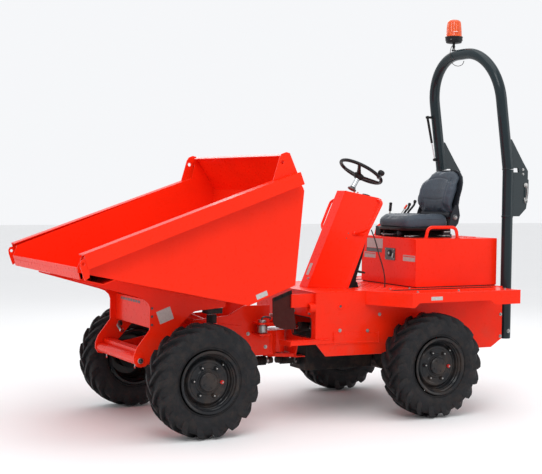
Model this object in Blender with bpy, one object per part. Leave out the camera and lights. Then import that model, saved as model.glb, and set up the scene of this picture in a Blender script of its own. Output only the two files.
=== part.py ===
"""Articulated front-tip site dumper, built piece by piece in metres, +X forward, +Y left, +Z up."""

import math

import bmesh
import bpy
from mathutils import Matrix, Vector

# Wheels and axles
WHEELBASE = 1.808
TRACK = 1.306
TYRE_RADIUS = 0.376
TYRE_WIDTH = 0.236
TYRE_WALL = 0.016
RIM_RADIUS = 0.208
AXLE_TUBE_RADIUS = 0.055
DIFF_RADIUS = 0.118
# Centre joint
JOINT_X = 0.93
HUB_RADIUS = 0.07
PIN_RADIUS = 0.030
# Front frame
FRAME_BOTTOM = 0.4403
FRAME_TOP = 0.66
FRAME_HALF = 0.17
GUARD_TOP = 0.80
# Skip and its underframe
SKIP_HALF = 0.706
SKIP_RAIL_HALF = 0.794
SKIP_SHEET = 0.006
SKIP_FRONT = 2.69
SKIP_PIVOT_X = 2.145
SKIP_PIVOT_Z = 0.487
UNDERFRAME_HALF = 0.380
UNDERFRAME_PLATE = 0.014
RAIL_DEPTH = 0.092
# Rear chassis
CHASSIS_FRONT = 0.85
CHASSIS_REAR = -0.80
CHASSIS_HALF = 0.450
CHASSIS_SHEET = 0.008
DECK_Z = 0.905
STEP_FRONT = 1.055
FENDER_HALF = 0.785
FENDER_DROP = 0.10
# Console and steering
CONSOLE_HALF = 0.255
CONSOLE_TOP = 1.622
COLUMN_TILT = math.radians(30.4)
WHEEL_X = 0.211
WHEEL_Z = 1.767
WHEEL_RADIUS = 0.181
# Engine cover and seat
COVER_FRONT = -0.045
COVER_HALF = 0.375
COVER_TOP = 1.27
COVER_SHEET = 0.005
SEAT_HALF = 0.235
# Roll-over frame
LEG_X = -0.8465
LEG_HALF = 0.431
LEG_RADIUS = 0.042
LEG_TOP = 1.79
HOOP_RAKE = math.radians(9.6)
HOOP_HEIGHT = 0.927
HOOP_BEND = 0.377
# Rams
TIP_BASE = (1.22, 0.0, 0.545)
TIP_EYE = (1.92, 0.0, 0.82)
STEER_BASE = (0.51, 0.24, 0.64)
STEER_EYE = (1.165, 0.24, 0.64)
GAP = 0.0003
# Keeps the corners of round pieces off the planes of flat ones
PHASE = 0.23

COLOURS = {
    "red": (0.78, 0.045, 0.012),
    "black": (0.02, 0.02, 0.022),
    "rubber": (0.03, 0.03, 0.032),
    "steel": (0.55, 0.55, 0.56),
    "slate": (0.03, 0.045, 0.055),
    "amber": (0.85, 0.20, 0.02),
    "seat": (0.035, 0.037, 0.042),
    "engine": (0.16, 0.17, 0.18),
}

for old in list(bpy.data.objects):
    bpy.data.objects.remove(old, do_unlink=True)
NODES = []


def link(name, bm):
    """A new object from this bmesh, its faces turned outwards."""
    bmesh.ops.remove_doubles(bm, verts=bm.verts, dist=1e-6)
    bmesh.ops.recalc_face_normals(bm, faces=bm.faces)
    mesh = bpy.data.meshes.new(name)
    bm.to_mesh(mesh)
    bm.free()
    obj = bpy.data.objects.new(name, mesh)
    bpy.context.scene.collection.objects.link(obj)
    return obj


def loft(rings, name="tmp"):
    """A closed solid through rings of points, capped at both ends."""
    bm = bmesh.new()
    rows = [[bm.verts.new(p) for p in ring] for ring in rings]
    count = len(rows[0])
    for a, b in zip(rows, rows[1:]):
        for i in range(count):
            j = (i + 1) % count
            bm.faces.new((a[i], a[j], b[j], b[i]))
    bm.faces.new(list(reversed(rows[0])))
    bm.faces.new(rows[-1])
    return link(name, bm)


def plate_xz(points, y0, y1):
    """A plate in the XZ plane between two y values."""
    return loft([[(x, y0, z) for x, z in points], [(x, y1, z) for x, z in points]])


def plate_xy(points, z0, z1):
    return loft([[(x, y, z0) for x, y in points], [(x, y, z1) for x, y in points]])


def plate_yz(points, x0, x1):
    return loft([[(x0, y, z) for y, z in points], [(x1, y, z) for y, z in points]])


def box(x0, x1, y0, y1, z0, z1):
    return plate_xy([(x0, y0), (x1, y0), (x1, y1), (x0, y1)], z0, z1)


def rod(a, b, radius, segments=16, end_radius=None):
    """A cylinder, or a cone, from a to b."""
    a, b = Vector(a), Vector(b)
    axis = (b - a).normalized()
    side = axis.orthogonal().normalized()
    other = axis.cross(side)
    end_radius = radius if end_radius is None else end_radius
    rings = []
    for point, r in ((a, radius), (b, end_radius)):
        turns = [2 * math.pi * (i + PHASE) / segments for i in range(segments)]
        rings.append([point + r * (math.cos(t) * side + math.sin(t) * other) for t in turns])
    return loft(rings)


def tube(path, radius, segments=10, closed=False):
    """A bent bar along a path of points."""
    path = [Vector(p) for p in path]
    count = len(path)
    rings = []
    side = None
    for i, point in enumerate(path):
        before = path[i - 1] if (i or closed) else point
        after = path[(i + 1) % count] if (i + 1 < count or closed) else point
        axis = (after - before).normalized()
        if side is None:
            side = axis.orthogonal().normalized()
        side = (side - axis * side.dot(axis)).normalized()
        other = axis.cross(side)
        turns = [2 * math.pi * k / segments for k in range(segments)]
        rings.append([point + radius * (math.cos(t) * side + math.sin(t) * other) for t in turns])
    if not closed:
        return loft(rings)
    bm = bmesh.new()
    rows = [[bm.verts.new(p) for p in ring] for ring in rings]
    for k in range(count):
        a, b = rows[k], rows[(k + 1) % count]
        for i in range(segments):
            j = (i + 1) % segments
            bm.faces.new((a[i], a[j], b[j], b[i]))
    return link("tmp", bm)


def turned(profile, centre, segments=24, side=1):
    """Profile points (y, r) revolved round the Y line through the centre; side mirrors y."""
    bm = bmesh.new()
    rows = []
    for y, r in profile:
        y = centre[1] + side * y
        if r < 1e-6:
            rows.append([bm.verts.new((centre[0], y, centre[2]))] * segments)
            continue
        turns = [2 * math.pi * i / segments for i in range(segments)]
        ring = [(centre[0] + r * math.cos(t), y, centre[2] + r * math.sin(t)) for t in turns]
        rows.append([bm.verts.new(p) for p in ring])
    open_ends = profile[0][1] < 1e-6 and profile[-1][1] < 1e-6
    pairs = list(zip(rows, rows[1:])) + ([] if open_ends else [(rows[-1], rows[0])])
    for a, b in pairs:
        for i in range(segments):
            j = (i + 1) % segments
            corners = []
            for v in (a[i], a[j], b[j], b[i]):
                if v not in corners:
                    corners.append(v)
            if len(corners) > 2:
                bm.faces.new(corners)
    return link("tmp", bm)


def baked(obj):
    """Replaces the object's mesh with its evaluated one and drops the modifiers."""
    graph = bpy.context.evaluated_depsgraph_get()
    mesh = bpy.data.meshes.new_from_object(obj.evaluated_get(graph))
    obj.modifiers.clear()
    obj.data = mesh
    return obj


def combine(first, others, operation):
    for other in others:
        step = first.modifiers.new("step", "BOOLEAN")
        step.operation = operation
        step.solver = "EXACT"
        step.object = other
        baked(first)
        bpy.data.objects.remove(other, do_unlink=True)
    return first


def join(first, *others):
    return combine(first, others, "UNION")


def cut(first, *others):
    return combine(first, others, "DIFFERENCE")


def node(name, obj, colour, origin=None):
    """Names the piece, gives it its own material and puts its origin where it turns."""
    obj.name = name
    obj.data.name = name
    material = bpy.data.materials.new(name)
    material.use_nodes = True
    shader = material.node_tree.nodes["Principled BSDF"]
    shader.inputs["Base Color"].default_value = (*COLOURS[colour], 1)
    shader.inputs["Roughness"].default_value = 0.5
    obj.data.materials.clear()
    obj.data.materials.append(material)
    if origin is not None:
        obj.data.transform(Matrix.Translation(-Vector(origin)))
        obj.location = origin
    NODES.append(obj)
    return obj


def band(path, thickness):
    """Outline of a sheet whose outer face follows the path, thickness on its left side."""
    inner = []
    for i, point in enumerate(path):
        p = Vector(point)
        before = (p - Vector(path[i - 1])).normalized() if i else None
        after = (Vector(path[i + 1]) - p).normalized() if i + 1 < len(path) else None
        before = before or after
        after = after or before
        n0 = Vector((-before.y, before.x))
        n1 = Vector((-after.y, after.x))
        n = (n0 + n1).normalized()
        inner.append(tuple(p + n * thickness / max(n.dot(n0), 0.3)))
    return list(path) + inner[::-1]


# ---------------------------------------------------------------- wheels and axles
def belly(x):
    """Height of the skip's flat belly at x."""
    return 0.857 + 0.209 * (x - 1.51)


def wheel(name, x, side):
    centre = (x, side * TRACK / 2, TYRE_RADIUS)
    w = TYRE_WIDTH / 2
    r = TYRE_RADIUS
    t = TYRE_WALL
    outer = [
        (0.80 * w, RIM_RADIUS - 0.009),
        (0.96 * w, RIM_RADIUS + 0.010),
        (w, r - 0.085),
        (0.95 * w, r - 0.030),
        (0.82 * w, r - 0.007),
    ]
    inner = [
        (w - t, r - 0.080),
        (0.66 * w, RIM_RADIUS - 0.009),
    ]
    profile = outer + [(0, r)] + [(-y, rad) for y, rad in reversed(outer)]
    profile += [(-y, rad) for y, rad in reversed(inner)] + [(0, r - 1.9 * t)] + inner
    tyre = turned(profile, centre, 24, side)
    node("tyre_" + name, tyre, "rubber", centre)
    f = RIM_RADIUS
    rim = [
        (0.030, 0), (0.030, 0.105), (0.058, 0.112), (0.058, f - 0.044), (-0.045, f - 0.038),
        (-0.070, f - 0.020), (-w, f - 0.018), (-w, f), (-w + 0.008, f), (-w + 0.008, f - 0.0105),
        (-0.060, f - 0.0125), (-0.040, f - 0.030), (0.040, f - 0.030), (0.060, f - 0.0125),
        (w - 0.008, f - 0.0105), (w - 0.008, f), (w, f), (w, f - 0.018), (0.082, f - 0.022),
        (0.070, f - 0.042), (0.070, 0.078), (0.100, 0.062), (0.104, 0),
    ]
    node("rim_" + name, turned(rim, centre, 20, side), "black", centre)


def axle(name, x, nose):
    z = TYRE_RADIUS
    end = TRACK / 2 + 0.030 - GAP
    body = rod((x, -end, z), (x, end, z), AXLE_TUBE_RADIUS, 16)
    middle = turned([(-0.12, 0), (-0.12, 0.06), (-0.08, DIFF_RADIUS), (0.08, DIFF_RADIUS),
                     (0.12, 0.06), (0.12, 0)], (x, 0, z), 16)
    drums = [rod((x, s * (end - 0.055), z), (x, s * end, z), 0.098, 20) for s in (-1, 1)]
    housing = rod((x + nose * 0.02, 0, z), (x + nose * 0.15, 0, z), 0.050, 14)
    pads = [box(x - 0.06, x + 0.06, s * 0.22, s * 0.32, z + 0.012, 0.44) for s in (-1, 1)]
    node(name, join(body, middle, housing, *drums, *pads), "black")


for corner, x, s in (("front_left", WHEELBASE, 1), ("front_right", WHEELBASE, -1),
                     ("rear_left", 0.0, 1), ("rear_right", 0.0, -1)):
    wheel(corner, x, s)
axle("front_axle", WHEELBASE, -1)
axle("rear_axle", 0.0, 1)


# ---------------------------------------------------------------- front frame
def front_frame():
    j = JOINT_X
    lo, hi = FRAME_BOTTOM, FRAME_TOP
    hub = rod((j, 0, lo), (j, 0, hi), HUB_RADIUS, 24)
    block = plate_xy([(j + 0.03, -0.070), (j + 0.10, -0.145), (1.12, -0.16), (1.12, 0.16),
                      (j + 0.10, 0.145), (j + 0.03, 0.070)], lo, hi)
    floor = box(1.05, 2.10, -FRAME_HALF, FRAME_HALF, lo, lo + 0.016)
    wall = [(1.07, lo), (1.07, GUARD_TOP), (1.27, GUARD_TOP), (1.40, 0.735), (1.66, 0.715),
            (1.78, 0.60), (2.08, 0.545), (2.08, lo)]
    walls = [plate_xz(wall, s * (FRAME_HALF - 0.014), s * FRAME_HALF) for s in (1, -1)]
    beam = box(2.055, SKIP_PIVOT_X - 0.02, -0.36, 0.36, 0.455, 0.548)
    inner = UNDERFRAME_HALF - UNDERFRAME_PLATE - 0.006
    pivot_z = SKIP_PIVOT_Z
    barrel = rod((SKIP_PIVOT_X, -inner, pivot_z), (SKIP_PIVOT_X, inner, pivot_z), 0.034, 20)
    outer = UNDERFRAME_HALF + 0.012
    pin = rod((SKIP_PIVOT_X, -outer, pivot_z), (SKIP_PIVOT_X, outer, pivot_z), 0.018, 20)
    wings = [box(1.53, 1.66, s * 0.16, s * 0.355, 0.672, 0.690) for s in (1, -1)]
    ribs = [plate_yz([(s * 0.16, 0.55), (s * 0.34, 0.675), (s * 0.16, 0.675)], 1.59, 1.602)
            for s in (1, -1)]
    posts = [rod((1.595, s * 0.315, 0.675), (1.595, s * 0.315, 0.765), 0.034, 16) for s in (1, -1)]
    x, y, z = STEER_EYE
    ears = [box(x - 0.05, x + 0.045, 0.158, y + 0.045, z + a, z + a + 0.012) for a in (-0.045, 0.033)]
    caps = [rod((x, y, z + 0.040), (x, y, z + 0.062), 0.030, 16),
            rod((x, y, z - 0.056), (x, y, z - 0.040), 0.022, 16)]
    bx, by, bz = TIP_BASE
    cheeks = [box(bx - 0.045, bx + 0.045, s * 0.050, s * 0.064, lo, bz + 0.045) for s in (1, -1)]
    cross = rod((bx, -0.058, bz), (bx, 0.058, bz), 0.0155, 16)
    bars = [box(1.90, 1.95, -0.165, 0.165, lo, 0.50)]
    body = join(block, hub, floor, *walls, beam, barrel, pin, *wings, *ribs, *posts, *ears,
                *caps, *cheeks, cross, *bars)
    bore = rod((j, 0, lo - 0.05), (j, 0, hi + 0.05), PIN_RADIUS + 0.0006, 24)
    room = box(WHEELBASE - 0.135, WHEELBASE + 0.135, -0.125, 0.125, lo - 0.05, lo + 0.03)
    return node("front_frame", cut(body, bore, room), "red")


front_frame()


def ram(name, base, eye, axis, barrel_length, barrel_radius, rod_radius, rod_start, width):
    """A cylinder in two pieces: the barrel with its eye at the base, the rod with its own eye."""
    base, eye, axis = Vector(base), Vector(eye), Vector(axis)
    along = (eye - base).normalized()
    length = (eye - base).length
    half = axis * width / 2
    lug = rod(base - half, base + half, 0.036, 20)
    body = rod(base + along * 0.02, base + along * barrel_length, barrel_radius, 20)
    gland = rod(base + along * (barrel_length - 0.03), base + along * barrel_length,
                barrel_radius + 0.005, 20)
    body = join(body, gland, lug)
    bore = rod(base - axis * 0.1, base + axis * 0.1, 0.0165, 16)
    hollow = rod(base + along * 0.045, base + along * (barrel_length + 0.05),
                 rod_radius + 0.0015, 20)
    body = cut(body, bore, hollow)
    node(name + "_barrel", body, "red" if name == "tip_ram" else "black", base)
    reach = rod(base + along * rod_start, base + along * (length - 0.005), rod_radius, 20)
    end = rod(eye - half, eye + half, 0.034, 20)
    return name + "_rod", reach, end


name, reach, end = ram("tip_ram", TIP_BASE, TIP_EYE, (0, 1, 0), 0.60, 0.042, 0.022, 0.085, 0.056)
node(name, cut(join(reach, end), rod(Vector(TIP_EYE) - Vector((0, 0.1, 0)),
                                     Vector(TIP_EYE) + Vector((0, 0.1, 0)), 0.022, 16)), "steel")
name, reach, end = ram("steer_ram", STEER_BASE, STEER_EYE, (0, 0, 1), 0.36, 0.032, 0.015, 0.190, 0.050)
x, y, z = STEER_EYE
stub = rod((x, y, z - 0.031), (x, y, z + 0.031), 0.014, 16)
node(name, join(reach, end, stub), "steel")


# ---------------------------------------------------------------- skip
def skip():
    t = SKIP_SHEET
    h = SKIP_HALF
    rh = SKIP_RAIL_HALF
    front = SKIP_FRONT
    rear_low, rear_mid, rear_top = (1.16, 0.983), (1.10, 1.62), (1.252, 1.862)
    low = (1.51, 0.857)
    shy = 0.001
    lip = (front - 0.006, belly(front - 0.006) + shy)
    path = [(rear_top[0] + shy, rear_top[1] - shy), (rear_mid[0] + shy, rear_mid[1]),
            (rear_low[0] + shy, rear_low[1] + shy), (low[0], low[1] + shy), lip]
    sheet = plate_xz(band(path, 0.008), t / 2 - h, h - t / 2)
    under = plate_xz(band([(2.43, belly(2.43) + 0.002), (2.52, 1.022), (front - 0.020, 1.058),
                           (front, 1.132)], 0.006), t / 3 - h, h - t / 3)
    flange = plate_xz([(1.249, 1.857), (1.251, 1.8625), (1.291, 1.850), (1.289, 1.844)],
                      t / 4 - h, h - t / 4)
    slope = (1.745 - 1.217) / (1.175 - (front - 0.012))

    def rail_z(x):
        return 1.217 + slope * (x - (front - 0.012))

    wall = [rear_mid, rear_low, low, (front - 0.004, belly(front - 0.004)),
            (front - 0.004, 1.134), (front - 0.03, rail_z(front - 0.03) - 0.02),
            (1.30, rail_z(1.30) - 0.002), (1.262, 1.858), rear_top]
    walls = [plate_xz(wall, s * (h - t), s * h) for s in (1, -1)]
    x0, x1 = 1.18, front - 0.012
    rail = [(x0, rail_z(x0)), (x1, rail_z(x1)), (x1, rail_z(x1) - t), (x0, rail_z(x0) - t)]
    tops = [plate_xz(rail, s * (h - t / 2), s * (rh - t / 2)) for s in (1, -1)]
    face = [(x0 - 0.002, rail_z(x0)), (x1 - 0.002, rail_z(x1) - 0.001),
            (x1 - 0.030, rail_z(x1) - RAIL_DEPTH), (x0 - 0.034, rail_z(x0 - 0.034) - RAIL_DEPTH)]
    faces = [plate_xz(face, s * (rh - t), s * rh) for s in (1, -1)]
    ends = []
    for s in (1, -1):
        corner = [(s * (h - 0.002), 1.060), (s * (rh - 0.007), 1.078), (s * (rh - 0.007), 1.198),
                  (s * (h - 0.002), 1.198)]
        ends.append(plate_yz(corner, front - 0.041, front - 0.035))
        ear = [(front - 0.052, 1.076), (front - 0.022, 1.058), (front + 0.006, 1.135),
               (front + 0.010, 1.165), (front + 0.001, 1.184), (front - 0.020, 1.190),
               (front - 0.052, 1.190)]
        plate = plate_xz(ear, s * (rh - 0.013), s * (rh - 0.004))
        hole = rod((front - 0.012, s * (rh - 0.05), 1.160), (front - 0.012, s * (rh + 0.05), 1.160),
                   0.011, 12)
        ends.append(cut(plate, hole))
        lug = [(1.366, rail_z(1.366) - 0.004), (1.318, 1.835), (1.300, 1.862), (1.270, 1.874),
               (1.243, 1.868), (1.183, rail_z(1.183) - 0.004)]
        plate = plate_xz(lug, s * 0.746, s * 0.758)
        hole = rod((1.298, s * 0.70, 1.806), (1.298, s * 0.80, 1.806), 0.014, 12)
        ends.append(cut(plate, hole))
        rear = [(1.1835, 1.737), (1.253, 1.859), (1.259, 1.856), (1.190, 1.734)]
        ends.append(plate_xz(rear, s * (h - 0.0025), s * 0.7525))
        closer = [(1.150, 1.662), (1.182, 1.740), (1.188, 1.737), (1.156, 1.658)]
        ends.append(plate_xz(closer, s * (h - 0.0035), s * (rh - 0.002)))
    body = join(sheet, *walls, under, flange, *tops, *faces, *ends)
    return node("skip_tub", body, "red")


skip()


def underframe():
    out, t = UNDERFRAME_HALF, UNDERFRAME_PLATE
    px, pz = SKIP_PIVOT_X, SKIP_PIVOT_Z
    outline = [
        (1.52, belly(1.52) - GAP), (2.425, belly(2.425) - GAP - 0.0004), (2.505, 1.0247),
        (2.520, 1.0205), (2.600, 1.0405), (2.600, 1.031), (2.16, 0.905), (2.115, 0.888), (2.085, 0.860),
        (2.075, 0.83), (2.075, 0.685), (px + 0.020, 0.570), (px + 0.040, 0.520), (px + 0.040, 0.480),
        (px + 0.020, 0.448), (px - 0.010, 0.440), (px - 0.045, 0.448), (2.02, 0.53), (1.90, 0.66),
        (1.86, 0.705), (1.79, 0.775), (1.75, 0.797), (1.70, 0.804), (1.52, 0.818),
    ]
    sides = [plate_xz(outline, s * (out - t), s * out) for s in (1, -1)]
    cover = box(2.015, 2.030, -(out - t / 2), out - t / 2, 0.685, 0.868)
    tie = box(1.535, 1.580, -(out - t / 2), out - t / 2, 0.822, 0.850)
    ex, ey, ez = TIP_EYE
    cheeks = [plate_xz([(2.018, ez - 0.06), (2.018, ez + 0.045), (ex + 0.01, ez + 0.045),
                        (ex - 0.035, ez + 0.02), (ex - 0.035, ez - 0.02), (ex + 0.0, ez - 0.035)],
                       s * 0.036, s * 0.050) for s in (1, -1)]
    body = join(sides[0], cover, sides[1], tie, *cheeks)
    holes = [rod((px, s * (out - 0.05), pz), (px, s * (out + 0.05), pz), 0.0192, 20) for s in (1, -1)]
    return node("skip_underframe", cut(body, *holes), "red", (px, 0, pz))


underframe()
for s, side in ((1, "left"), (-1, "right")):
    inside = UNDERFRAME_HALF - UNDERFRAME_PLATE - GAP
    node("skip_buffer_" + side, box(1.535, 1.650, s * 0.275, s * inside, 0.775, 0.820), "rubber")


# ---------------------------------------------------------------- rear chassis
def rear_chassis():
    t = CHASSIS_SHEET
    f, r, h, top = CHASSIS_FRONT, CHASSIS_REAR, CHASSIS_HALF, DECK_Z
    skirt = [(f, top), (f, 0.545), (f - 0.085, 0.448), (0.24, 0.441), (-0.24, 0.441), (-0.62, 0.441),
             (-0.70, 0.441), (r, 0.505), (r, top)]
    sides = [plate_xz(skirt, s * (h - t), s * h) for s in (1, -1)]
    deck = box(r, f, -h, h, top - t, top)
    nose = plate_yz([(-h, 0.545), (-0.20, 0.545), (-0.155, 0.408), (0.155, 0.408), (0.20, 0.545), (h, 0.545),
                     (h, top), (-h, top)], f - t, f)
    back = box(r, r + t, -h, h, 0.505, top)
    bars = [box(x, x + 0.06, -h, h, 0.4412, 0.50) for x in (-0.66, -0.17)]
    keel = [box(0.765, f, s * 0.0725 if s > 0 else -0.155, 0.155 if s > 0 else -0.0725, 0.408, 0.416)
            for s in (1, -1)]
    j = JOINT_X
    round_nose = [(j + 0.095 * math.cos(a), 0.095 * math.sin(a))
                  for a in [math.radians(d) for d in range(-80, 81, 20)]]
    upper = plate_xy([(f - 0.004, -0.30)] + round_nose + [(f - 0.004, 0.30)], FRAME_TOP + 0.006, FRAME_TOP + 0.030)
    lower = plate_xy([(f - 0.004, -0.15)] + round_nose + [(f - 0.004, 0.15)], FRAME_BOTTOM - 0.030,
                     FRAME_BOTTOM - 0.006)
    gusset = [plate_xz([(f - 0.003, FRAME_TOP + 0.02), (f + 0.055, FRAME_TOP + 0.02), (f - 0.003, 0.80)],
                       s * 0.100, s * 0.110) for s in (1, -1)]
    x, y, z = STEER_BASE
    clevis = [box(x - 0.06, x + 0.06, y - 0.05, h - 0.004, z + a, z + a + 0.012) for a in (-0.060, 0.048)]
    clevis.append(rod((x, y, z - 0.055), (x, y, z + 0.055), 0.015, 16))
    hang = box(f - 0.003, 1.03, 0.408, 0.420, 0.80, 0.895)
    body = join(deck, *sides, nose, back, *bars, *keel, upper, lower, *gusset, *clevis, hang)
    hatch = box(r + 0.06, COVER_FRONT - 0.012, -0.33, 0.33, top - 0.05, top + 0.05)
    port = box(f - 0.05, f + 0.05, 0.115, 0.385, 0.575, 0.715)
    shaft = box(f - 0.05, f + 0.05, -0.07, 0.07, 0.30, 0.438)
    pins = [rod((j, 0, z - 0.03), (j, 0, z + 0.06), PIN_RADIUS + GAP, 24)
            for z in (FRAME_TOP, FRAME_BOTTOM - 0.03)]
    return node("rear_chassis", cut(body, hatch, port, shaft, *pins), "red")


rear_chassis()
step = join(box(CHASSIS_FRONT + GAP, STEP_FRONT, 0.290, CHASSIS_HALF + 0.004, 0.548, 0.558),
            box(STEP_FRONT - 0.008, STEP_FRONT, 0.290, CHASSIS_HALF + 0.004, 0.530, 0.566),
            box(CHASSIS_FRONT + GAP, CHASSIS_FRONT + 0.010, 0.290, CHASSIS_HALF + 0.004, 0.548, 0.572),
            box(0.725, STEP_FRONT, CHASSIS_HALF + GAP, CHASSIS_HALF + 0.010, 0.538, 0.570))
node("step", step, "red")
head = rod((JOINT_X, 0, FRAME_TOP + 0.030 + GAP), (JOINT_X, 0, FRAME_TOP + 0.055), 0.045, 24)
shank = rod((JOINT_X, 0, FRAME_BOTTOM - 0.034), (JOINT_X, 0, FRAME_TOP + 0.040), PIN_RADIUS, 24)
node("centre_pin", join(shank, head), "steel")


def fender(side, name):
    top, t = DECK_Z, 0.006
    inner, outer = CHASSIS_HALF + GAP, FENDER_HALF
    plan = [(0.44, side * inner), (0.26, side * outer), (-0.70, side * outer), (-0.70, side * inner)]
    deck = plate_xy(plan, top - t, top)
    low, mid = top - FENDER_DROP, top - 0.068
    edge = [(0.262, top), (0.262, low), (0.235, low), (0.20, mid), (-0.42, mid), (-0.47, low),
            (-0.70, low), (-0.70, top)]
    flange = plate_xz(edge, side * (outer - t), side * outer)
    a, b = Vector((0.44, side * inner)), Vector((0.26, side * outer))
    front = plate_xy([a, b, b + Vector((-t, 0)), a + Vector((-t * 1.2, 0))], low, top)
    hung = plate_xz([(0.432, top), (0.432, 0.83), (-0.70, 0.83), (-0.70, top)],
                    side * inner, side * (inner + t))
    rear = box(-0.70, -0.694, side * inner, side * outer, low, top)
    node(name, join(deck, flange, front, hung, rear), "red")


fender(1, "fender_left")
fender(-1, "fender_right")

# ---------------------------------------------------------------- drive line
engine = box(-0.66, -0.08, -0.21, 0.21, 0.5003, 1.10)
node("engine_block", engine, "engine")
gear = join(box(0.165, 0.74, -0.12, 0.12, 0.30, 0.62), box(-0.0797, 0.42, -0.13, 0.13, 0.52, 0.76))
node("gearbox", gear, "engine")
shaft = join(rod((0.7403, 0, TYRE_RADIUS), (0.89, 0, TYRE_RADIUS), 0.022, 16),
             rod((0.7403, 0, TYRE_RADIUS), (0.77, 0, TYRE_RADIUS), 0.045, 16),
             rod((0.885, 0, TYRE_RADIUS), (0.925, 0, TYRE_RADIUS), 0.028, 16))
node("rear_shaft", shaft, "steel")
start = WHEELBASE - 0.15 - GAP
shaft = join(rod((0.955, 0, TYRE_RADIUS), (start, 0, TYRE_RADIUS), 0.022, 16),
             rod((start - 0.03, 0, TYRE_RADIUS), (start, 0, TYRE_RADIUS), 0.045, 16),
             rod((0.955, 0, TYRE_RADIUS), (0.995, 0, TYRE_RADIUS), 0.028, 16))
node("front_shaft", shaft, "steel")


# ---------------------------------------------------------------- console and steering
def console():
    h = CONSOLE_HALF
    base = [(0.700, -0.06), (0.700, 0.06), (0.505, h), (0.465, h), (0.465, -h), (0.505, -h)]
    heads = [(0.383, -0.06, CONSOLE_TOP), (0.383, 0.06, CONSOLE_TOP), (0.213, h - 0.003, 1.572),
             (0.185, h - 0.003, 1.560), (0.185, 0.003 - h, 1.560), (0.213, 0.003 - h, 1.572)]
    low = [(x, y, DECK_Z + GAP) for x, y in base]
    outer = loft([low, heads])
    s = 0.005
    shrink = [(x - 1.6 * s if x > 0.6 else x - (1.2 * s if x > 0.49 else -s), y * (1 - s / 0.2), DECK_Z - 0.05)
              for x, y in base]
    slide = (0.383 - 0.700) / (CONSOLE_TOP - DECK_Z)
    shrink = [(x - slide * 0.05, y, z) for x, y, z in shrink]
    inside = [(x - 1.6 * s if x > 0.3 else x - (1.2 * s if x > 0.2 else -s), y * (1 - s / 0.2), z - 1.4 * s)
              for x, y, z in heads]
    hollow = loft([shrink, inside])
    doorway = plate_xz([(0.34, DECK_Z - 0.1), (0.535, DECK_Z - 0.1), (0.358, 1.20), (0.16, 1.20)], 0.03 - h, h - 0.03)
    return node("console", cut(outer, hollow, doorway), "red")


console()
TILT = Vector((-math.sin(COLUMN_TILT), 0, math.cos(COLUMN_TILT)))
CENTRE = Vector((WHEEL_X, 0, WHEEL_Z))
foot = CENTRE - TILT * 0.157
node("steering_column", join(rod(foot, CENTRE - TILT * 0.066, 0.019, 16),
                             rod(foot, foot + TILT * 0.012, 0.034, 16)), "steel")


def steering_wheel():
    across = Vector((0, 1, 0))
    ahead = across.cross(TILT)
    major = WHEEL_RADIUS - 0.013
    ring = [CENTRE + major * (math.cos(a) * ahead + math.sin(a) * across)
            for a in [2 * math.pi * i / 24 for i in range(24)]]
    rim = tube(ring, 0.013, 8, closed=True)
    hub = rod(CENTRE - TILT * 0.062, CENTRE - TILT * 0.030, 0.034, 16)
    spokes = []
    for turn in (90, 210, 330):
        a = math.radians(turn)
        out = math.cos(a) * ahead + math.sin(a) * across
        spokes.append(rod(CENTRE - TILT * 0.046 + out * 0.015, CENTRE + out * major, 0.010, 10))
    a = math.radians(150)
    seat = CENTRE + major * (math.cos(a) * ahead + math.sin(a) * across)
    knob = rod(seat + TILT * 0.006, seat + TILT * 0.046, 0.019, 14)
    node("steering_wheel", join(rim, hub, *spokes, knob), "black", CENTRE)


steering_wheel()
for s, side in ((1, "left"), (-1, "right")):
    y = CONSOLE_HALF + 0.011
    path = [(0.222, s * y, 1.545), (0.206, s * (y + 0.022), 1.520), (0.222, s * (y + 0.024), 1.470),
            (0.300, s * (y + 0.024), 1.345), (0.325, s * (y + 0.022), 1.320),
            (0.352, s * y, 1.318)]
    node("grab_handle_" + side, tube(path, 0.0105, 10), "red")
post = rod((0.346, 0.155, DECK_Z + GAP), (0.346, 0.155, 1.10), 0.009, 10)
pad = box(0.290, 0.360, 0.115, 0.200, 1.01, 1.02)
node("pedal", join(post, pad), "black")

# ---------------------------------------------------------------- engine cover, seat and levers
c = COVER_SHEET
rear = CHASSIS_REAR + 0.002
outer = box(rear, COVER_FRONT, -COVER_HALF, COVER_HALF, DECK_Z + 0.006, COVER_TOP)
hollow = box(rear + c, COVER_FRONT - c, c - COVER_HALF, COVER_HALF - c, DECK_Z - 0.05, COVER_TOP - c)
node("engine_cover", cut(outer, hollow), "red", (rear, 0, DECK_Z))
top = COVER_TOP + GAP
base = loft([[(-0.14, -0.19, top), (-0.50, -0.19, top), (-0.50, 0.19, top), (-0.14, 0.19, top)],
             [(-0.11, -0.21, 1.335), (-0.52, -0.21, 1.335), (-0.52, 0.21, 1.335), (-0.11, 0.21, 1.335)]])
node("seat_base", base, "black")
w = SEAT_HALF
ring = [(-0.08, -0.7 * w), (-0.08, 0.7 * w), (-0.12, 0.94 * w), (-0.25, w), (-0.46, w), (-0.50, 0.85 * w),
        (-0.50, -0.85 * w), (-0.46, -w), (-0.25, -w), (-0.12, -0.94 * w)]
cushion = loft([[(x, y, 1.3353) for x, y in ring],
                [(x, y, 1.420) for x, y in ring],
                [(-0.29 + 0.93 * (x + 0.29), 0.92 * y, 1.450) for x, y in ring]])
node("seat_cushion", cushion, "seat")
rows = []
for z, x, half, thick in ((1.46, -0.505, 0.225, 0.075), (1.57, -0.510, 0.235, 0.095),
                          (1.68, -0.535, 0.215, 0.085), (1.76, -0.560, 0.165, 0.070),
                          (1.795, -0.575, 0.110, 0.045)):
    rows.append([(x + thick / 2, 0.75 * half, z), (x + thick / 2, -0.75 * half, z),
                 (x + 0.15 * thick, -half, z), (x - thick / 2, -0.8 * half, z),
                 (x - thick / 2, 0.8 * half, z), (x + 0.15 * thick, half, z)])
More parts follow.
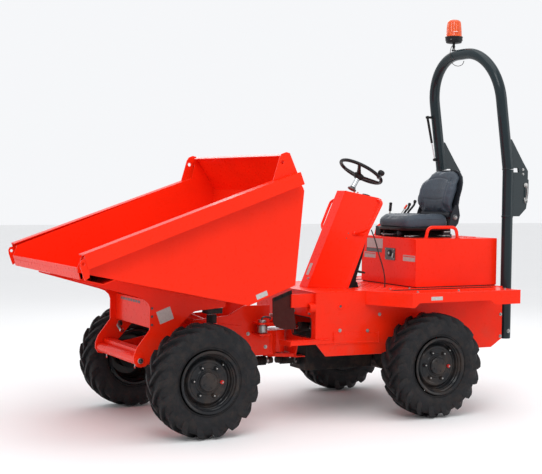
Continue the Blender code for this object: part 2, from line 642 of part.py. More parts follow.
frame = box(-0.548, -0.5205, -0.10, 0.10, COVER_TOP + 0.001, 1.50)
node("seat_back", join(loft(rows), frame), "seat")
for s, side in ((1, "left"), (-1, "right")):
    y = s * 0.345
    path = [(-0.158, y, top), (-0.158, y, 1.300), (-0.168, y, 1.345), (-0.195, y, 1.362),
            (-0.375, y, 1.362), (-0.405, y, 1.345), (-0.416, y, 1.300), (-0.416, y, top)]
    node("cover_rail_" + side, tube(path, 0.0095, 8), "red")
stand = box(-0.38, -0.13, -0.320, -0.252, top, 1.345)
sticks = [rod((x, -0.286, 1.34), (x + lean, -0.286, height), 0.007, 8)
          for x, lean, height in ((-0.17, 0.03, 1.50), (-0.25, 0.015, 1.485), (-0.30, 0.01, 1.485),
                                  (-0.35, 0.0, 1.49))]
knobs = [rod((x, -0.286, z), (x, -0.286, z + 0.030), 0.014, 10)
         for x, z in ((-0.14, 1.485), (-0.235, 1.47), (-0.29, 1.47), (-0.35, 1.475))]
node("lever_stand", join(stand, *sticks, *knobs), "black")


# ---------------------------------------------------------------- roll-over frame
def leg(side, name):
    y = side * LEG_HALF
    post = rod((LEG_X, y, 0.50), (LEG_X, y, LEG_TOP), LEG_RADIUS, 20)
    plates = []
    outline = [(LEG_X - 0.030, 1.44), (-0.945, 1.44), (-1.010, 1.50), (-1.030, 1.62), (-1.030, 1.72),
               (-1.000, 1.745), (-0.955, 1.73), (LEG_X - 0.030, 1.73)]
    for inner, outer in ((0.014, 0.024), (-0.024, -0.014)):
        plates.append(plate_xz(outline, y + inner, y + outer))
    pin = rod((-1.0, y - 0.032, 1.68), (-1.0, y + 0.032, 1.68), 0.012, 14)
    node(name, join(post, *plates, pin), "slate")


leg(1, "rops_leg_left")
leg(-1, "rops_leg_right")


def hoop():
    lean = Vector((math.sin(HOOP_RAKE), 0, math.cos(HOOP_RAKE)))
    origin = Vector((LEG_X, 0, LEG_TOP))
    half, bend = LEG_HALF, HOOP_BEND

    def at(y, s):
        return origin + lean * s + Vector((0, y, 0))

    path = [at(half, 0.012)]
    for i in range(8):
        a = math.pi / 2 * i / 7
        path.append(at(half - bend + bend * math.cos(a), HOOP_HEIGHT - bend + bend * math.sin(a)))
    for i in range(8):
        a = math.pi / 2 * (1 - i / 7)
        path.append(at(-(half - bend) - bend * math.cos(a), HOOP_HEIGHT - bend + bend * math.sin(a)))
    path.append(at(-half, 0.012))
    body = tube(path, LEG_RADIUS, 16)
    feet = []
    for s in (1, -1):
        y = s * half
        outline = [(LEG_X - 0.020, 1.81), (LEG_X + 0.01, 2.03), (LEG_X - 0.025, 2.03), (-0.985, 1.86),
                   (-1.035, 1.79), (-1.035, 1.68), (-1.018, 1.655), (-0.982, 1.655), (-0.960, 1.69),
                   (-0.940, 1.81)]
        plate = plate_xz(outline, y - 0.008, y + 0.008)
        hole = rod((-1.0, y - 0.05, 1.68), (-1.0, y + 0.05, 1.68), 0.0132, 14)
        feet.append(cut(plate, hole))
    body = join(body, *feet)
    node("rops_hoop", body, "slate", (-1.0, 0, 1.68))


hoop()
BEACON_Y = -0.12
lean = Vector((math.sin(HOOP_RAKE), 0, math.cos(HOOP_RAKE)))
turn = math.acos(min(max((abs(BEACON_Y) - (LEG_HALF - HOOP_BEND)) / HOOP_BEND, 0), 1))
apex = Vector((LEG_X, 0, LEG_TOP)) + (HOOP_HEIGHT - HOOP_BEND * (1 - math.sin(turn))) * lean
apex += Vector((0, 0, LEG_RADIUS / math.cos(HOOP_RAKE) + 0.0032))
bx, by = apex.x, BEACON_Y
stem = join(rod((bx, by, apex.z), (bx, by, apex.z + 0.065), 0.010, 12),
            rod((bx, by, apex.z + 0.060), (bx, by, apex.z + 0.115), 0.052, 20, 0.058),
            rod((bx, by, apex.z), (bx, by, apex.z + 0.010), 0.014, 12))
node("beacon_base", stem, "black")
foot = apex.z + 0.115 + GAP
dome = turned([(0, 0), (0, 0.052), (0.105, 0.044), (0.128, 0.034), (0.134, 0)], (0, 0, 0), 20)
dome.data.transform(Matrix.Translation((bx, by, foot)) @ Matrix.Rotation(math.pi / 2, 4, "X"))
node("beacon_lens", dome, "amber")

# ---------------------------------------------------------------- splash flap
flap = [(1.172, 0.872), (1.022, 0.925), (0.982, 0.648), (1.082, 0.656), (1.145, 0.674), (1.166, 0.713)]
node("splash_flap", plate_xz(flap, 0.4015, 0.4077), "rubber")

# ---------------------------------------------------------------- origin at the middle of the box
FRONT_END = SKIP_FRONT + 0.010
REAR_END = -1.035
SHIFT = Vector((-(FRONT_END + REAR_END) / 2, 0, 0))
for piece in NODES:
    piece.location = piece.location + SHIFT
bpy.context.view_layer.update()
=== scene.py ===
"""Looks of a compact articulated site dumper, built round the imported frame.

Lengths are in metres. Shapes are laid out from the rear axle: x forward along
the ground, y to the operator's left, z up; Shape.finish moves them into the frame.
"""
import math

import bmesh
import bpy
from bpy.props import FloatProperty, FloatVectorProperty, IntProperty, PointerProperty
from mathutils import Matrix, Vector


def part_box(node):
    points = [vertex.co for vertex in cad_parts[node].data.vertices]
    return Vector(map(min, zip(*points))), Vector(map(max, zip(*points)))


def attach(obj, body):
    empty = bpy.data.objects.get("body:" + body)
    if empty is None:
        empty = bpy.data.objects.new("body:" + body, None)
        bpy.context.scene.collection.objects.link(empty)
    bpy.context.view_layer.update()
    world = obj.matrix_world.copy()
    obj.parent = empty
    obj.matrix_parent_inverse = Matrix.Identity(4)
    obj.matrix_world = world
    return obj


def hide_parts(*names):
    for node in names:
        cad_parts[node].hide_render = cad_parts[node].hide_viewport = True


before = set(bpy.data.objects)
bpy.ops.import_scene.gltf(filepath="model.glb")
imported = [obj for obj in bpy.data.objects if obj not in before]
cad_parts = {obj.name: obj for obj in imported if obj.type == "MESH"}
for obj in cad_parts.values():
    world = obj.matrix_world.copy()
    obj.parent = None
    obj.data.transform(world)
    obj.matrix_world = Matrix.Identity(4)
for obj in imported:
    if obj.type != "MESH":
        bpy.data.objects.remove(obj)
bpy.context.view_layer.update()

bl_info = {
    "name": "Site dumper",
    "version": (1, 0, 0),
    "blender": (4, 5, 0),
    "location": "3D View > Sidebar > Dumper",
    "description": "Builds the finish and the fine pieces of an articulated site dumper",
    "category": "Object",
}


def middle(node):
    """The middle of a CAD node's box, in the frame."""
    low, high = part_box(node)
    return (low + high) / 2


AXLE_X = middle("rim_rear_left").x
WHEEL_Z = middle("rim_rear_left").z
WHEELBASE = middle("rim_front_left").x - AXLE_X
HALF_TRACK = middle("rim_rear_left").y
TYRE_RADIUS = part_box("tyre_rear_left")[1].z - WHEEL_Z
TYRE_HALF = (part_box("tyre_rear_left")[1].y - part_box("tyre_rear_left")[0].y) / 2
DECK_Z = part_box("rear_chassis")[1].z
COVER_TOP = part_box("engine_cover")[1].z
COVER_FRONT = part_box("engine_cover")[1].x - AXLE_X
COVER_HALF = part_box("engine_cover")[1].y
LEG_X = -0.8465
LEG_Y = 0.431
SIDES = (("left", 1), ("right", -1))
WHEELS = [(end + "_" + side, x, s) for end, x in (("front", WHEELBASE), ("rear", 0.0))
          for side, s in SIDES]


# ---------------------------------------------------------------- settings
class DumperPaint(bpy.types.PropertyGroup):
    """Colours that a hirer would choose for their own fleet."""

    body: FloatVectorProperty(
        name="Body paint", description="Colour of the skip, frames and covers",
        subtype="COLOR", size=3, min=0, max=1, default=(0.86, 0.022, 0.0045))
    wheels: FloatVectorProperty(
        name="Wheel paint", description="Colour of the rims and axles",
        subtype="COLOR", size=3, min=0, max=1, default=(0.012, 0.013, 0.015))
    hoop: FloatVectorProperty(
        name="Hoop paint", description="Colour of the roll-over hoop",
        subtype="COLOR", size=3, min=0, max=1, default=(0.010, 0.019, 0.023))
    gloss: FloatProperty(
        name="Clear coat", description="Strength of the clear coat over the body paint",
        subtype="FACTOR", min=0, max=1, default=0.12)


class DumperTyres(bpy.types.PropertyGroup):
    """Sizes of the traction tyres' tread."""

    lugs: IntProperty(
        name="Lugs a side", description="Tread lugs on each half of the tyre",
        min=10, max=30, default=18)
    lug_height: FloatProperty(
        name="Lug height", description="Depth of the tread between the lugs",
        unit="LENGTH", min=0.01, max=0.04, default=0.024)
    sweep: FloatProperty(
        name="Lug sweep", description="How far round the tyre a lug runs from middle to shoulder",
        subtype="ANGLE", min=0.1, max=0.8, default=0.40)


class DumperSeat(bpy.types.PropertyGroup):
    """How the seat's pads are puffed."""

    pressure: FloatProperty(
        name="Foam pressure", description="Pressure that swells the pads", min=0.5, max=10, default=4)
    swell: FloatProperty(
        name="Most swell", description="Furthest that a point of a pad may move",
        unit="LENGTH", min=0.005, max=0.03, default=0.012)
    voxel: FloatProperty(
        name="Mesh size", description="Size of the pads' faces before smoothing",
        unit="LENGTH", min=0.004, max=0.02, default=0.008)


class DumperStage(bpy.types.PropertyGroup):
    """The floor, the lights and the lens."""

    floor: FloatVectorProperty(
        name="Floor", description="Colour of the floor",
        subtype="COLOR", size=3, min=0, max=1, default=(0.86, 0.86, 0.86))
    key: FloatProperty(
        name="Key light", description="Strength of the main soft light", min=0, max=5000, default=170)
    lens: FloatProperty(
        name="Lens", description="Focal length on a 36 mm wide sensor, in millimetres",
        min=20, max=200, default=80.2)


# ---------------------------------------------------------------- shapes
def across(axis):
    """Two unit vectors square to axis and to each other."""
    axis = Vector(axis).normalized()
    side = axis.orthogonal().normalized()
    return side, axis.cross(side)


def ring(centre, axis, radius, count, start=0.0):
    u, v = across(axis)
    turn = [start + 2 * math.pi * i / count for i in range(count)]
    return [Vector(centre) + radius * (math.cos(a) * u + math.sin(a) * v) for a in turn]


def smooth_path(points, steps=5, closed=False):
    """A Catmull-Rom line through the points."""
    points = [Vector(p) for p in points]
    count = len(points)
    found = []
    for i in range(count if closed else count - 1):
        if closed:
            a, b, c, d = (points[(i + k) % count] for k in (-1, 0, 1, 2))
        else:
            a, b, c, d = points[max(i - 1, 0)], points[i], points[i + 1], points[min(i + 2, count - 1)]
        for k in range(steps):
            t = k / steps
            found.append(0.5 * (2 * b + (c - a) * t + (2 * a - 5 * b + 4 * c - d) * t * t
                                + (3 * b - a - 3 * c + d) * t ** 3))
    return found if closed else found + [points[-1]]


def rounded(points, radius, steps=5):
    """A line with its corners replaced by arcs."""
    points = [Vector(p) for p in points]
    found = [points[0]]
    for before, corner, after in zip(points, points[1:], points[2:]):
        back, ahead = (before - corner), (after - corner)
        room = min(radius, back.length * 0.49, ahead.length * 0.49)
        a, b = corner + back.normalized() * room, corner + ahead.normalized() * room
        for i in range(steps + 1):
            t = i / steps
            found.append((1 - t) ** 2 * a + 2 * t * (1 - t) * corner + t * t * b)
    return found + [points[-1]]


class Shape:
    """One piece while it is built: several closed shells, each with a finish."""

    def __init__(self, finish):
        self.bm = bmesh.new()
        self.finishes = []
        self.use(finish)

    def use(self, finish):
        if finish not in self.finishes:
            self.finishes.append(finish)
        self.current = self.finishes.index(finish)
        return self

    def face(self, corners):
        made = self.bm.faces.new(corners)
        made.material_index = self.current
        made.smooth = True

    def shell(self, rings, closed=False):
        """Rings of equally many points joined in order, with flat ends unless closed."""
        rows = [[self.bm.verts.new(p) for p in points] for points in rings]
        count = len(rows[0])
        pairs = list(zip(rows, rows[1:]))
        if closed:
            pairs.append((rows[-1], rows[0]))
        for a, b in pairs:
            for i in range(count):
                j = (i + 1) % count
                self.face((a[i], a[j], b[j], b[i]))
        if not closed:
            self.face(rows[0][::-1])
            self.face(rows[-1])
        return self

    def rod(self, start, end, radius, end_radius=None, count=20, edge=0.0):
        start, end = Vector(start), Vector(end)
        axis = (end - start).normalized()
        end_radius = radius if end_radius is None else end_radius
        rings = [ring(start, axis, radius, count), ring(end, axis, end_radius, count)]
        if edge:
            rings = [ring(start, axis, radius - edge, count),
                     ring(start + axis * edge, axis, radius, count),
                     ring(end - axis * edge, axis, end_radius, count),
                     ring(end, axis, end_radius - edge, count)]
        return self.shell(rings)

    def turned(self, profile, origin, axis, count=48, closed=False):
        """profile is (distance along the axis, radius) points; radius 0 closes the end."""
        origin, axis = Vector(origin), Vector(axis).normalized()
        u, v = across(axis)
        rows = []
        for along, radius in profile:
            centre = origin + axis * along
            if radius <= 0:
                rows.append([self.bm.verts.new(centre)] * count)
                continue
            rows.append([self.bm.verts.new(centre + radius * (math.cos(a) * u + math.sin(a) * v))
                         for a in (2 * math.pi * i / count for i in range(count))])
        pairs = list(zip(rows, rows[1:]))
        if closed:
            pairs.append((rows[-1], rows[0]))
        for a, b in pairs:
            for i in range(count):
                j = (i + 1) % count
                corners = []
                for vert in (a[i], a[j], b[j], b[i]):
                    if vert not in corners:
                        corners.append(vert)
                if len(corners) > 2:
                    self.face(corners)
        return self

    def tube(self, points, radius, count=16, closed=False, flat=1.0):
        """A round bar along the points; flat squeezes it across its second direction."""
        points = [Vector(p) for p in points]
        total = len(points)
        tangents = []
        for i in range(total):
            a = points[i - 1] if closed else points[max(i - 1, 0)]
            b = points[(i + 1) % total] if closed else points[min(i + 1, total - 1)]
            tangents.append((b - a).normalized())
        u, v = across(tangents[0])
        rings = []
        for i, (point, tangent) in enumerate(zip(points, tangents)):
            if i:
                spin = tangents[i - 1].rotation_difference(tangent)
                u = spin @ u
            u = (u - u.dot(tangent) * tangent).normalized()
            v = tangent.cross(u)
            rings.append([point + radius * (math.cos(a) * u + flat * math.sin(a) * v)
                          for a in (2 * math.pi * k / count for k in range(count))])
        return self.shell(rings, closed)

    def prism(self, outline, plane, low, high):
        """An outline in the plane xz, yz or xy, between two places on the third axis."""
        place = {"xz": lambda a, b, c: (a, c, b), "yz": lambda a, b, c: (c, a, b),
                 "xy": lambda a, b, c: (a, b, c)}[plane]
        return self.shell([[Vector(place(a, b, c)) for a, b in outline] for c in (low, high)])

    def box(self, x0, x1, y0, y1, z0, z1):
        return self.prism([(x0, y0), (x1, y0), (x1, y1), (x0, y1)], "xy", z0, z1)

    def slab(self, centre, along, over, out, length, width, thick):
        """A flat block with its own directions: along, over and out."""
        centre = Vector(centre)
        along, over, out = (Vector(v).normalized() for v in (along, over, out))
        square = ((-1, -1), (1, -1), (1, 1), (-1, 1))
        return self.shell([[centre + along * a * length / 2 + over * b * width / 2 + out * c
                            for a, b in square] for c in (0, thick)])

    def bolt(self, place, axis, size=0.009, finish="zinc", washer=True):
        """A hexagon head on a washer; size is the head's radius."""
        before = self.finishes[self.current]
        self.use(finish)
        place, axis = Vector(place), Vector(axis).normalized()
        base = place
        if washer:
            base = place + axis * size * 0.22
            self.rod(place - axis * 0.001, base, size * 1.55, count=20)
        top = base + axis * size * 1.1
        self.shell([ring(base - axis * 0.0005, axis, size, 6), ring(top - axis * size * 0.2, axis, size, 6),
                    ring(top, axis, size * 0.8, 6)])
        return self.use(before)

    def finish(self, name, body, slot=None, stands_for=(), bevel=0.0, crease=35, subdivide=0):
        """Makes the object, puts it under its body's empty, hides the parts it stands for, and returns it."""
        old = bpy.data.objects.get(name)
        if old:
            bpy.data.objects.remove(old, do_unlink=True)
        bmesh.ops.recalc_face_normals(self.bm, faces=self.bm.faces)
        mesh = bpy.data.meshes.new(name)
        self.bm.to_mesh(mesh)
        self.bm.free()
        mesh.transform(Matrix.Translation((AXLE_X, 0, 0)))
        piece = bpy.data.objects.new(name, mesh)
        bpy.context.scene.collection.objects.link(piece)
        for key in self.finishes:
            mesh.materials.append(material(key))
        mesh.set_sharp_from_angle(angle=math.radians(crease))
        if bevel:
            add_bevel(piece, bevel)
        if subdivide:
            extra = piece.modifiers.new("smooth", "SUBSURF")
            extra.levels = extra.render_levels = subdivide
        if stands_for:
            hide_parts(*stands_for)
        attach(piece, body)
        return piece


def add_bevel(piece, width, segments=2, angle=35):
    edge = piece.modifiers.new("edges", "BEVEL")
    edge.width = width
    edge.segments = segments
    edge.limit_method = "ANGLE"
    edge.angle_limit = math.radians(angle)
    edge.harden_normals = True
    edge.use_clamp_overlap = True
    return edge


def dress(node, finish, bevel=0.0):
    """Gives a CAD node its finish, and rounds its edges where bevel is given."""
    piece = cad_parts[node]
    piece.data.materials.clear()
    piece.data.materials.append(material(finish))
    if bevel:
        weld = piece.modifiers.new("weld", "WELD")
        weld.merge_threshold = 0.00005
        flat = piece.modifiers.new("flat", "DECIMATE")
        flat.decimate_type = "DISSOLVE"
        flat.angle_limit = math.radians(1.0)
        add_bevel(piece, bevel, angle=40)
    return piece


# ---------------------------------------------------------------- finishes
class Finish:
    """A material's nodes while they are built."""

    def __init__(self, name):
        self.made = bpy.data.materials.new(name)
        self.made.use_nodes = True
        self.tree = self.made.node_tree
        self.shader = self.tree.nodes["Principled BSDF"]
        self.place = self.tree.nodes.new("ShaderNodeTexCoord").outputs["Object"]

    def set(self, **values):
        for name, value in values.items():
            self.shader.inputs[name.replace("_", " ")].default_value = value
        return self

    def link(self, source, target):
        self.tree.links.new(source, self.shader.inputs[target] if isinstance(target, str) else target)

    def noise(self, scale, detail=3, rough=0.55, stretch=None):
        place = self.place
        if stretch:
            mapping = self.tree.nodes.new("ShaderNodeMapping")
            mapping.inputs["Scale"].default_value = stretch
            self.link(place, mapping.inputs["Vector"])
            place = mapping.outputs["Vector"]
        node = self.tree.nodes.new("ShaderNodeTexNoise")
        node.inputs["Scale"].default_value = scale
        node.inputs["Detail"].default_value = detail
        node.inputs["Roughness"].default_value = rough
        self.link(place, node.inputs["Vector"])
        return node.outputs["Fac"]

    def voronoi(self, scale, feature="F1"):
        node = self.tree.nodes.new("ShaderNodeTexVoronoi")
        node.feature = feature
        node.inputs["Scale"].default_value = scale
        self.link(self.place, node.inputs["Vector"])
        return node.outputs["Distance"]

    def between(self, value, low, high, start=0.0, end=1.0):
        """value from low..high, spread over start..end and kept inside it."""
        node = self.tree.nodes.new("ShaderNodeMapRange")
        for name, number in (("From Min", low), ("From Max", high), ("To Min", start), ("To Max", end)):
            node.inputs[name].default_value = number
        self.link(value, node.inputs["Value"])
        return node.outputs["Result"]

    def times(self, a, b):
        node = self.tree.nodes.new("ShaderNodeMath")
        node.operation = "MULTIPLY"
        for source, target in ((a, node.inputs[0]), (b, node.inputs[1])):
            if isinstance(source, (int, float)):
                target.default_value = source
            else:
                self.link(source, target)
        return node.outputs[0]

    def blend(self, factor, a, b):
        """Colour a where factor is 0 and b where it is 1."""
        node = self.tree.nodes.new("ShaderNodeMix")
        node.data_type = "RGBA"
        self.link(factor, node.inputs["Factor"])
        for source, target in ((a, node.inputs["A"]), (b, node.inputs["B"])):
            target = [s for s in node.inputs if s.name == target.name and s.type == "RGBA"][0]
            if isinstance(source, (tuple, list)):
                target.default_value = (*source[:3], 1)
            else:
                self.link(source, target)
        return [s for s in node.outputs if s.type == "RGBA"][0]

    def height(self):
        split = self.tree.nodes.new("ShaderNodeSeparateXYZ")
        self.link(self.place, split.inputs[0])
        return split.outputs["Z"]

    def bump(self, value, depth, strength=1.0, over=None):
        node = self.tree.nodes.new("ShaderNodeBump")
        node.inputs["Strength"].default_value = strength
        node.inputs["Distance"].default_value = depth
        self.link(value, node.inputs["Height"])
        if over is not None:
            self.link(over, node.inputs["Normal"])
        return node.outputs["Normal"]

    def edges(self, radius):
        """Normals rounded over the edges, as paint lies on folded sheet."""
        node = self.tree.nodes.new("ShaderNodeBevel")
        node.samples = 4
        node.inputs["Radius"].default_value = radius
        return node.outputs["Normal"]


def shade(colour, factor):
    return tuple(min(1, c * factor) for c in colour)


def sheet_paint(name, colour, rough=0.3, coat=0.4, dust=0.25, edge=0.0025, metallic=0.0):
    """Sprayed enamel on sheet steel: slight drift in tone, orange peel, dust low down."""
    f = Finish(name)
    drift = f.blend(f.between(f.noise(2.2, 4), 0.35, 0.65), shade(colour, 0.93), shade(colour, 1.05))
    grime = f.times(f.between(f.noise(7, 6, 0.65), 0.45, 0.8), f.between(f.height(), 0.95, 0.25))
    grime = f.times(grime, dust)
    f.link(f.blend(grime, drift, (0.16, 0.10, 0.065)), "Base Color")
    wear = f.between(f.noise(38, 5, 0.6), 0.3, 0.75, rough * 0.82, rough * 1.25)
    f.link(wear, "Roughness")
    peel = f.bump(f.noise(260, 2), 0.00025, 0.35, over=f.edges(edge) if edge else None)
    f.link(f.bump(f.noise(3.5, 1), 0.004, 0.08, over=peel), "Normal")
    f.set(Metallic=metallic, Coat_Weight=coat, Coat_Roughness=0.07, Specular_IOR_Level=0.08)
    return f.made


def moulded(name, colour, rough=0.55, grain=420, depth=0.0003, tone=1.25, dust=0.0):
    """Moulded plastic or rubber with a fine grain."""
    f = Finish(name)
    cells = f.voronoi(grain)
    base = f.blend(f.between(f.noise(9, 4), 0.3, 0.7), colour, shade(colour, tone))
    if dust:
        settled = f.times(f.between(f.noise(16, 7, 0.7), 0.42, 0.75), dust)
        base = f.blend(settled, base, (0.13, 0.095, 0.07))
    f.link(base, "Base Color")
    f.link(f.between(f.noise(60, 3), 0.3, 0.7, rough * 0.9, min(1, rough * 1.12)), "Roughness")
    f.link(f.bump(cells, depth, 0.5), "Normal")
    f.set(Specular_IOR_Level=0.22)
    return f.made


def bare_metal(name, colour, rough, stretch, depth=0.0002, metallic=1.0):
    """Plated or ground metal with fine lines along it."""
    f = Finish(name)
    lines = f.noise(120, 3, stretch=stretch)
    f.link(f.blend(f.between(lines, 0.3, 0.7), shade(colour, 0.88), shade(colour, 1.06)), "Base Color")
    f.link(f.between(f.noise(45, 4), 0.3, 0.7, rough * 0.75, rough * 1.3), "Roughness")
    f.link(f.bump(lines, depth, 0.3), "Normal")
    f.set(Metallic=metallic)
    return f.made


def tyre_rubber(name):
    f = Finish(name)
    base = f.blend(f.between(f.noise(12, 5), 0.3, 0.7), (0.007, 0.0075, 0.009), (0.013, 0.0135, 0.0155))
    settled = f.times(f.between(f.noise(20, 7, 0.7), 0.45, 0.8), 0.5)
    f.link(f.blend(settled, base, (0.050, 0.034, 0.026)), "Base Color")
    f.link(f.between(f.noise(70, 4), 0.3, 0.7, 0.50, 0.72), "Roughness")
    fine = f.bump(f.noise(320, 3), 0.0005, 0.4)
    f.link(f.bump(f.noise(36, 3), 0.0025, 0.25, over=fine), "Normal")
    f.set(Specular_IOR_Level=0.2)
    return f.made


def seat_vinyl(name, colour):
    f = Finish(name)
    base = f.blend(f.between(f.noise(6, 4), 0.3, 0.7), shade(colour, 0.85), shade(colour, 1.3))
    f.link(base, "Base Color")
    f.link(f.between(f.noise(50, 3), 0.3, 0.7, 0.42, 0.6), "Roughness")
    grain = f.bump(f.voronoi(520), 0.0004, 0.55)
    f.link(f.bump(f.noise(24, 3), 0.002, 0.12, over=grain), "Normal")
    f.set(Specular_IOR_Level=0.3)
    return f.made


def amber(name):
    f = Finish(name)
    f.link(f.blend(f.between(f.noise(30, 2), 0.3, 0.7), (0.95, 0.13, 0.006), (0.80, 0.075, 0.003)), "Base Color")
    f.link(f.between(f.noise(80, 2), 0.3, 0.7, 0.06, 0.14), "Roughness")
    f.link(f.bump(f.noise(160, 2), 0.0003, 0.15), "Normal")
    f.set(Transmission_Weight=0.32, IOR=1.45, Coat_Weight=0.3, Coat_Roughness=0.05)
    return f.made


def printed_plate(name, colour, second):
    """A blank plate or sticker, a little scuffed."""
    f = Finish(name)
    f.link(f.blend(f.between(f.noise(60, 6, 0.7), 0.4, 0.75), colour, second), "Base Color")
    f.link(f.between(f.noise(40, 4), 0.3, 0.7, 0.28, 0.5), "Roughness")
    f.link(f.bump(f.noise(200, 2), 0.0002, 0.2), "Normal")
    f.set(Coat_Weight=0.3, Coat_Roughness=0.15)
    return f.made


def paint_colours():
    return bpy.context.scene.dumper_paint


MAKERS = {
    "red": lambda n: sheet_paint(n, paint_colours().body, 0.30, paint_colours().gloss, 0.35),
    "red_bars": lambda n: sheet_paint(n, paint_colours().body, 0.28, 0.2, 0.0, 0.0),
    "wheel_black": lambda n: sheet_paint(n, paint_colours().wheels, 0.38, 0.25, 0.35, 0.0015),
    "slate": lambda n: sheet_paint(n, paint_colours().hoop, 0.34, 0.35, 0.0, 0.002),
    "black_steel": lambda n: sheet_paint(n, (0.009, 0.009, 0.0095), 0.45, 0.05, 0.35, 0.0015),
    "cast_grey": lambda n: sheet_paint(n, (0.016, 0.016, 0.017), 0.55, 0.05, 0.5, 0.003),
    "tyre": tyre_rubber,
    "plastic": lambda n: moulded(n, (0.009, 0.009, 0.010), 0.45),
    "rubber": lambda n: moulded(n, (0.009, 0.009, 0.009), 0.62, 260, 0.0006, 1.4, 0.25),
    "flap": lambda n: moulded(n, (0.042, 0.0045, 0.0030), 0.7, 180, 0.0008, 1.3, 0.04),
    "hose": lambda n: moulded(n, (0.020, 0.019, 0.019), 0.5, 700, 0.0003, 1.5, 0.3),
    "vinyl": lambda n: seat_vinyl(n, (0.036, 0.048, 0.064)),
    "shell": lambda n: moulded(n, (0.013, 0.016, 0.021), 0.5, 300, 0.0004),
    "zinc": lambda n: bare_metal(n, (0.40, 0.40, 0.39), 0.34, (1, 1, 6)),
    "chrome": lambda n: bare_metal(n, (0.62, 0.64, 0.66), 0.10, (1, 6, 1), 0.00005),
    "steel": lambda n: bare_metal(n, (0.40, 0.39, 0.38), 0.42, (6, 1, 1)),
    "amber": amber,
    "reflector": lambda n: bare_metal(n, (0.75, 0.74, 0.72), 0.2, (1, 1, 8)),
    "plate_white": lambda n: printed_plate(n, (0.46, 0.45, 0.43), (0.34, 0.33, 0.31)),
    "plate_dark": lambda n: printed_plate(n, (0.040, 0.042, 0.045), (0.075, 0.075, 0.08)),
    "plate_yellow": lambda n: printed_plate(n, (0.72, 0.42, 0.03), (0.58, 0.34, 0.03)),
    "mark_red": lambda n: printed_plate(n, (0.62, 0.02, 0.015), (0.45, 0.012, 0.01)),
    "dial": lambda n: printed_plate(n, (0.68, 0.68, 0.66), (0.55, 0.55, 0.53)),
    "yellow_grip": lambda n: moulded(n, (0.65, 0.05, 0.02), 0.4, 420, 0.0002),
    "anti_slip": lambda n: sheet_paint(n, (0.020, 0.019, 0.018), 0.75, 0.0, 0.5, 0.0),
}


def material(key):
    name = "dumper_" + key
    return bpy.data.materials.get(name) or MAKERS[key](name)


# ---------------------------------------------------------------- wheels
def tyre_carcass(shape, centre, axis):
    """The tyre without its lugs: a closed section turned about the axle."""
    w = TYRE_HALF
    outer = [(0.70 * w, 0.204), (0.79 * w, 0.207), (0.86 * w, 0.215), (0.865 * w, 0.224),
             (0.90 * w, 0.227), (0.925 * w, 0.236), (0.955 * w, 0.252), (0.958 * w, 0.254),
             (0.958 * w, 0.257), (0.972 * w, 0.259), (0.978 * w, 0.285), (0.962 * w, 0.305),
             (0.925 * w, 0.325), (0.84 * w, 0.340), (0.70 * w, 0.3465), (0.40 * w, 0.3505), (0, 0.352)]
    inner = [(0, 0.332), (0.70 * w, 0.328), (0.88 * w, 0.300), (0.89 * w, 0.25), (0.80 * w, 0.222),
             (0.66 * w, 0.204)]
    profile = outer + [(-y, r) for y, r in reversed(outer[:-1])]
    profile += [(-y, r) for y, r in reversed(inner[1:])] + inner
    shape.turned(profile, centre, axis, count=96, closed=True)


def tyre_lugs(shape, centre, side, sizes):
    """Chevron lugs whose middle ends lead when the machine rolls forward."""
    depth = sizes.lug_height
    w = TYRE_HALF
    base, top = TYRE_RADIUS - depth - 0.004, TYRE_RADIUS
    # place across the tyre, foot radius, top across, top radius, turn, half width
    stations = [(-0.13 * w, base, -0.10 * w, top - 0.0010, 0.00, 0.014),
                (0.12 * w, base, 0.13 * w, top - 0.0002, 0.16, 0.0145),
                (0.45 * w, base - 0.002, 0.46 * w, top - 0.0015, 0.46, 0.0155),
                (0.74 * w, base - 0.008, 0.77 * w, top - 0.0060, 0.74, 0.0165),
                (0.90 * w, base - 0.022, 0.955 * w, top - 0.0150, 0.92, 0.018),
                (0.92 * w, base - 0.040, 0.995 * w, top - 0.0400, 1.02, 0.019),
                (0.945 * w, base - 0.064, 0.985 * w, top - 0.0800, 1.08, 0.017)]
    for i in range(2 * sizes.lugs):
        half = 1 if i % 2 else -1
        start = math.pi * i / sizes.lugs
        rings = []
        for foot_y, foot_r, top_y, top_r, turn, width in stations:
            angle = start - sizes.sweep * turn
            corners = []
            for y, r, spread in ((foot_y, foot_r, -1.35), (top_y, top_r, -1), (top_y, top_r, 1),
                                 (foot_y, foot_r, 1.35)):
                a = angle + spread * width / r
                corners.append(centre + Vector((r * math.sin(a), half * y, r * math.cos(a))))
            rings.append(corners)
        shape.shell(rings)


class DUMPER_OT_tyres(bpy.types.Operator):
    """Traction tyres with chevron lugs, in place of the four plain tyres"""

    bl_idname = "dumper.tyres"
    bl_label = "Tyres"

    def execute(self, context):
        for name, x, side in WHEELS:
            centre = Vector((x, side * HALF_TRACK, WHEEL_Z))
            shape = Shape("tyre")
            tyre_carcass(shape, centre, (0, side, 0))
            tyre_lugs(shape, centre, side, context.scene.dumper_tyres)
            shape.finish("traction_tyre_" + name, "wheel_" + name, "tyre_rubber",
                         ("tyre_" + name,), bevel=0.0025, crease=40)
        return {"FINISHED"}


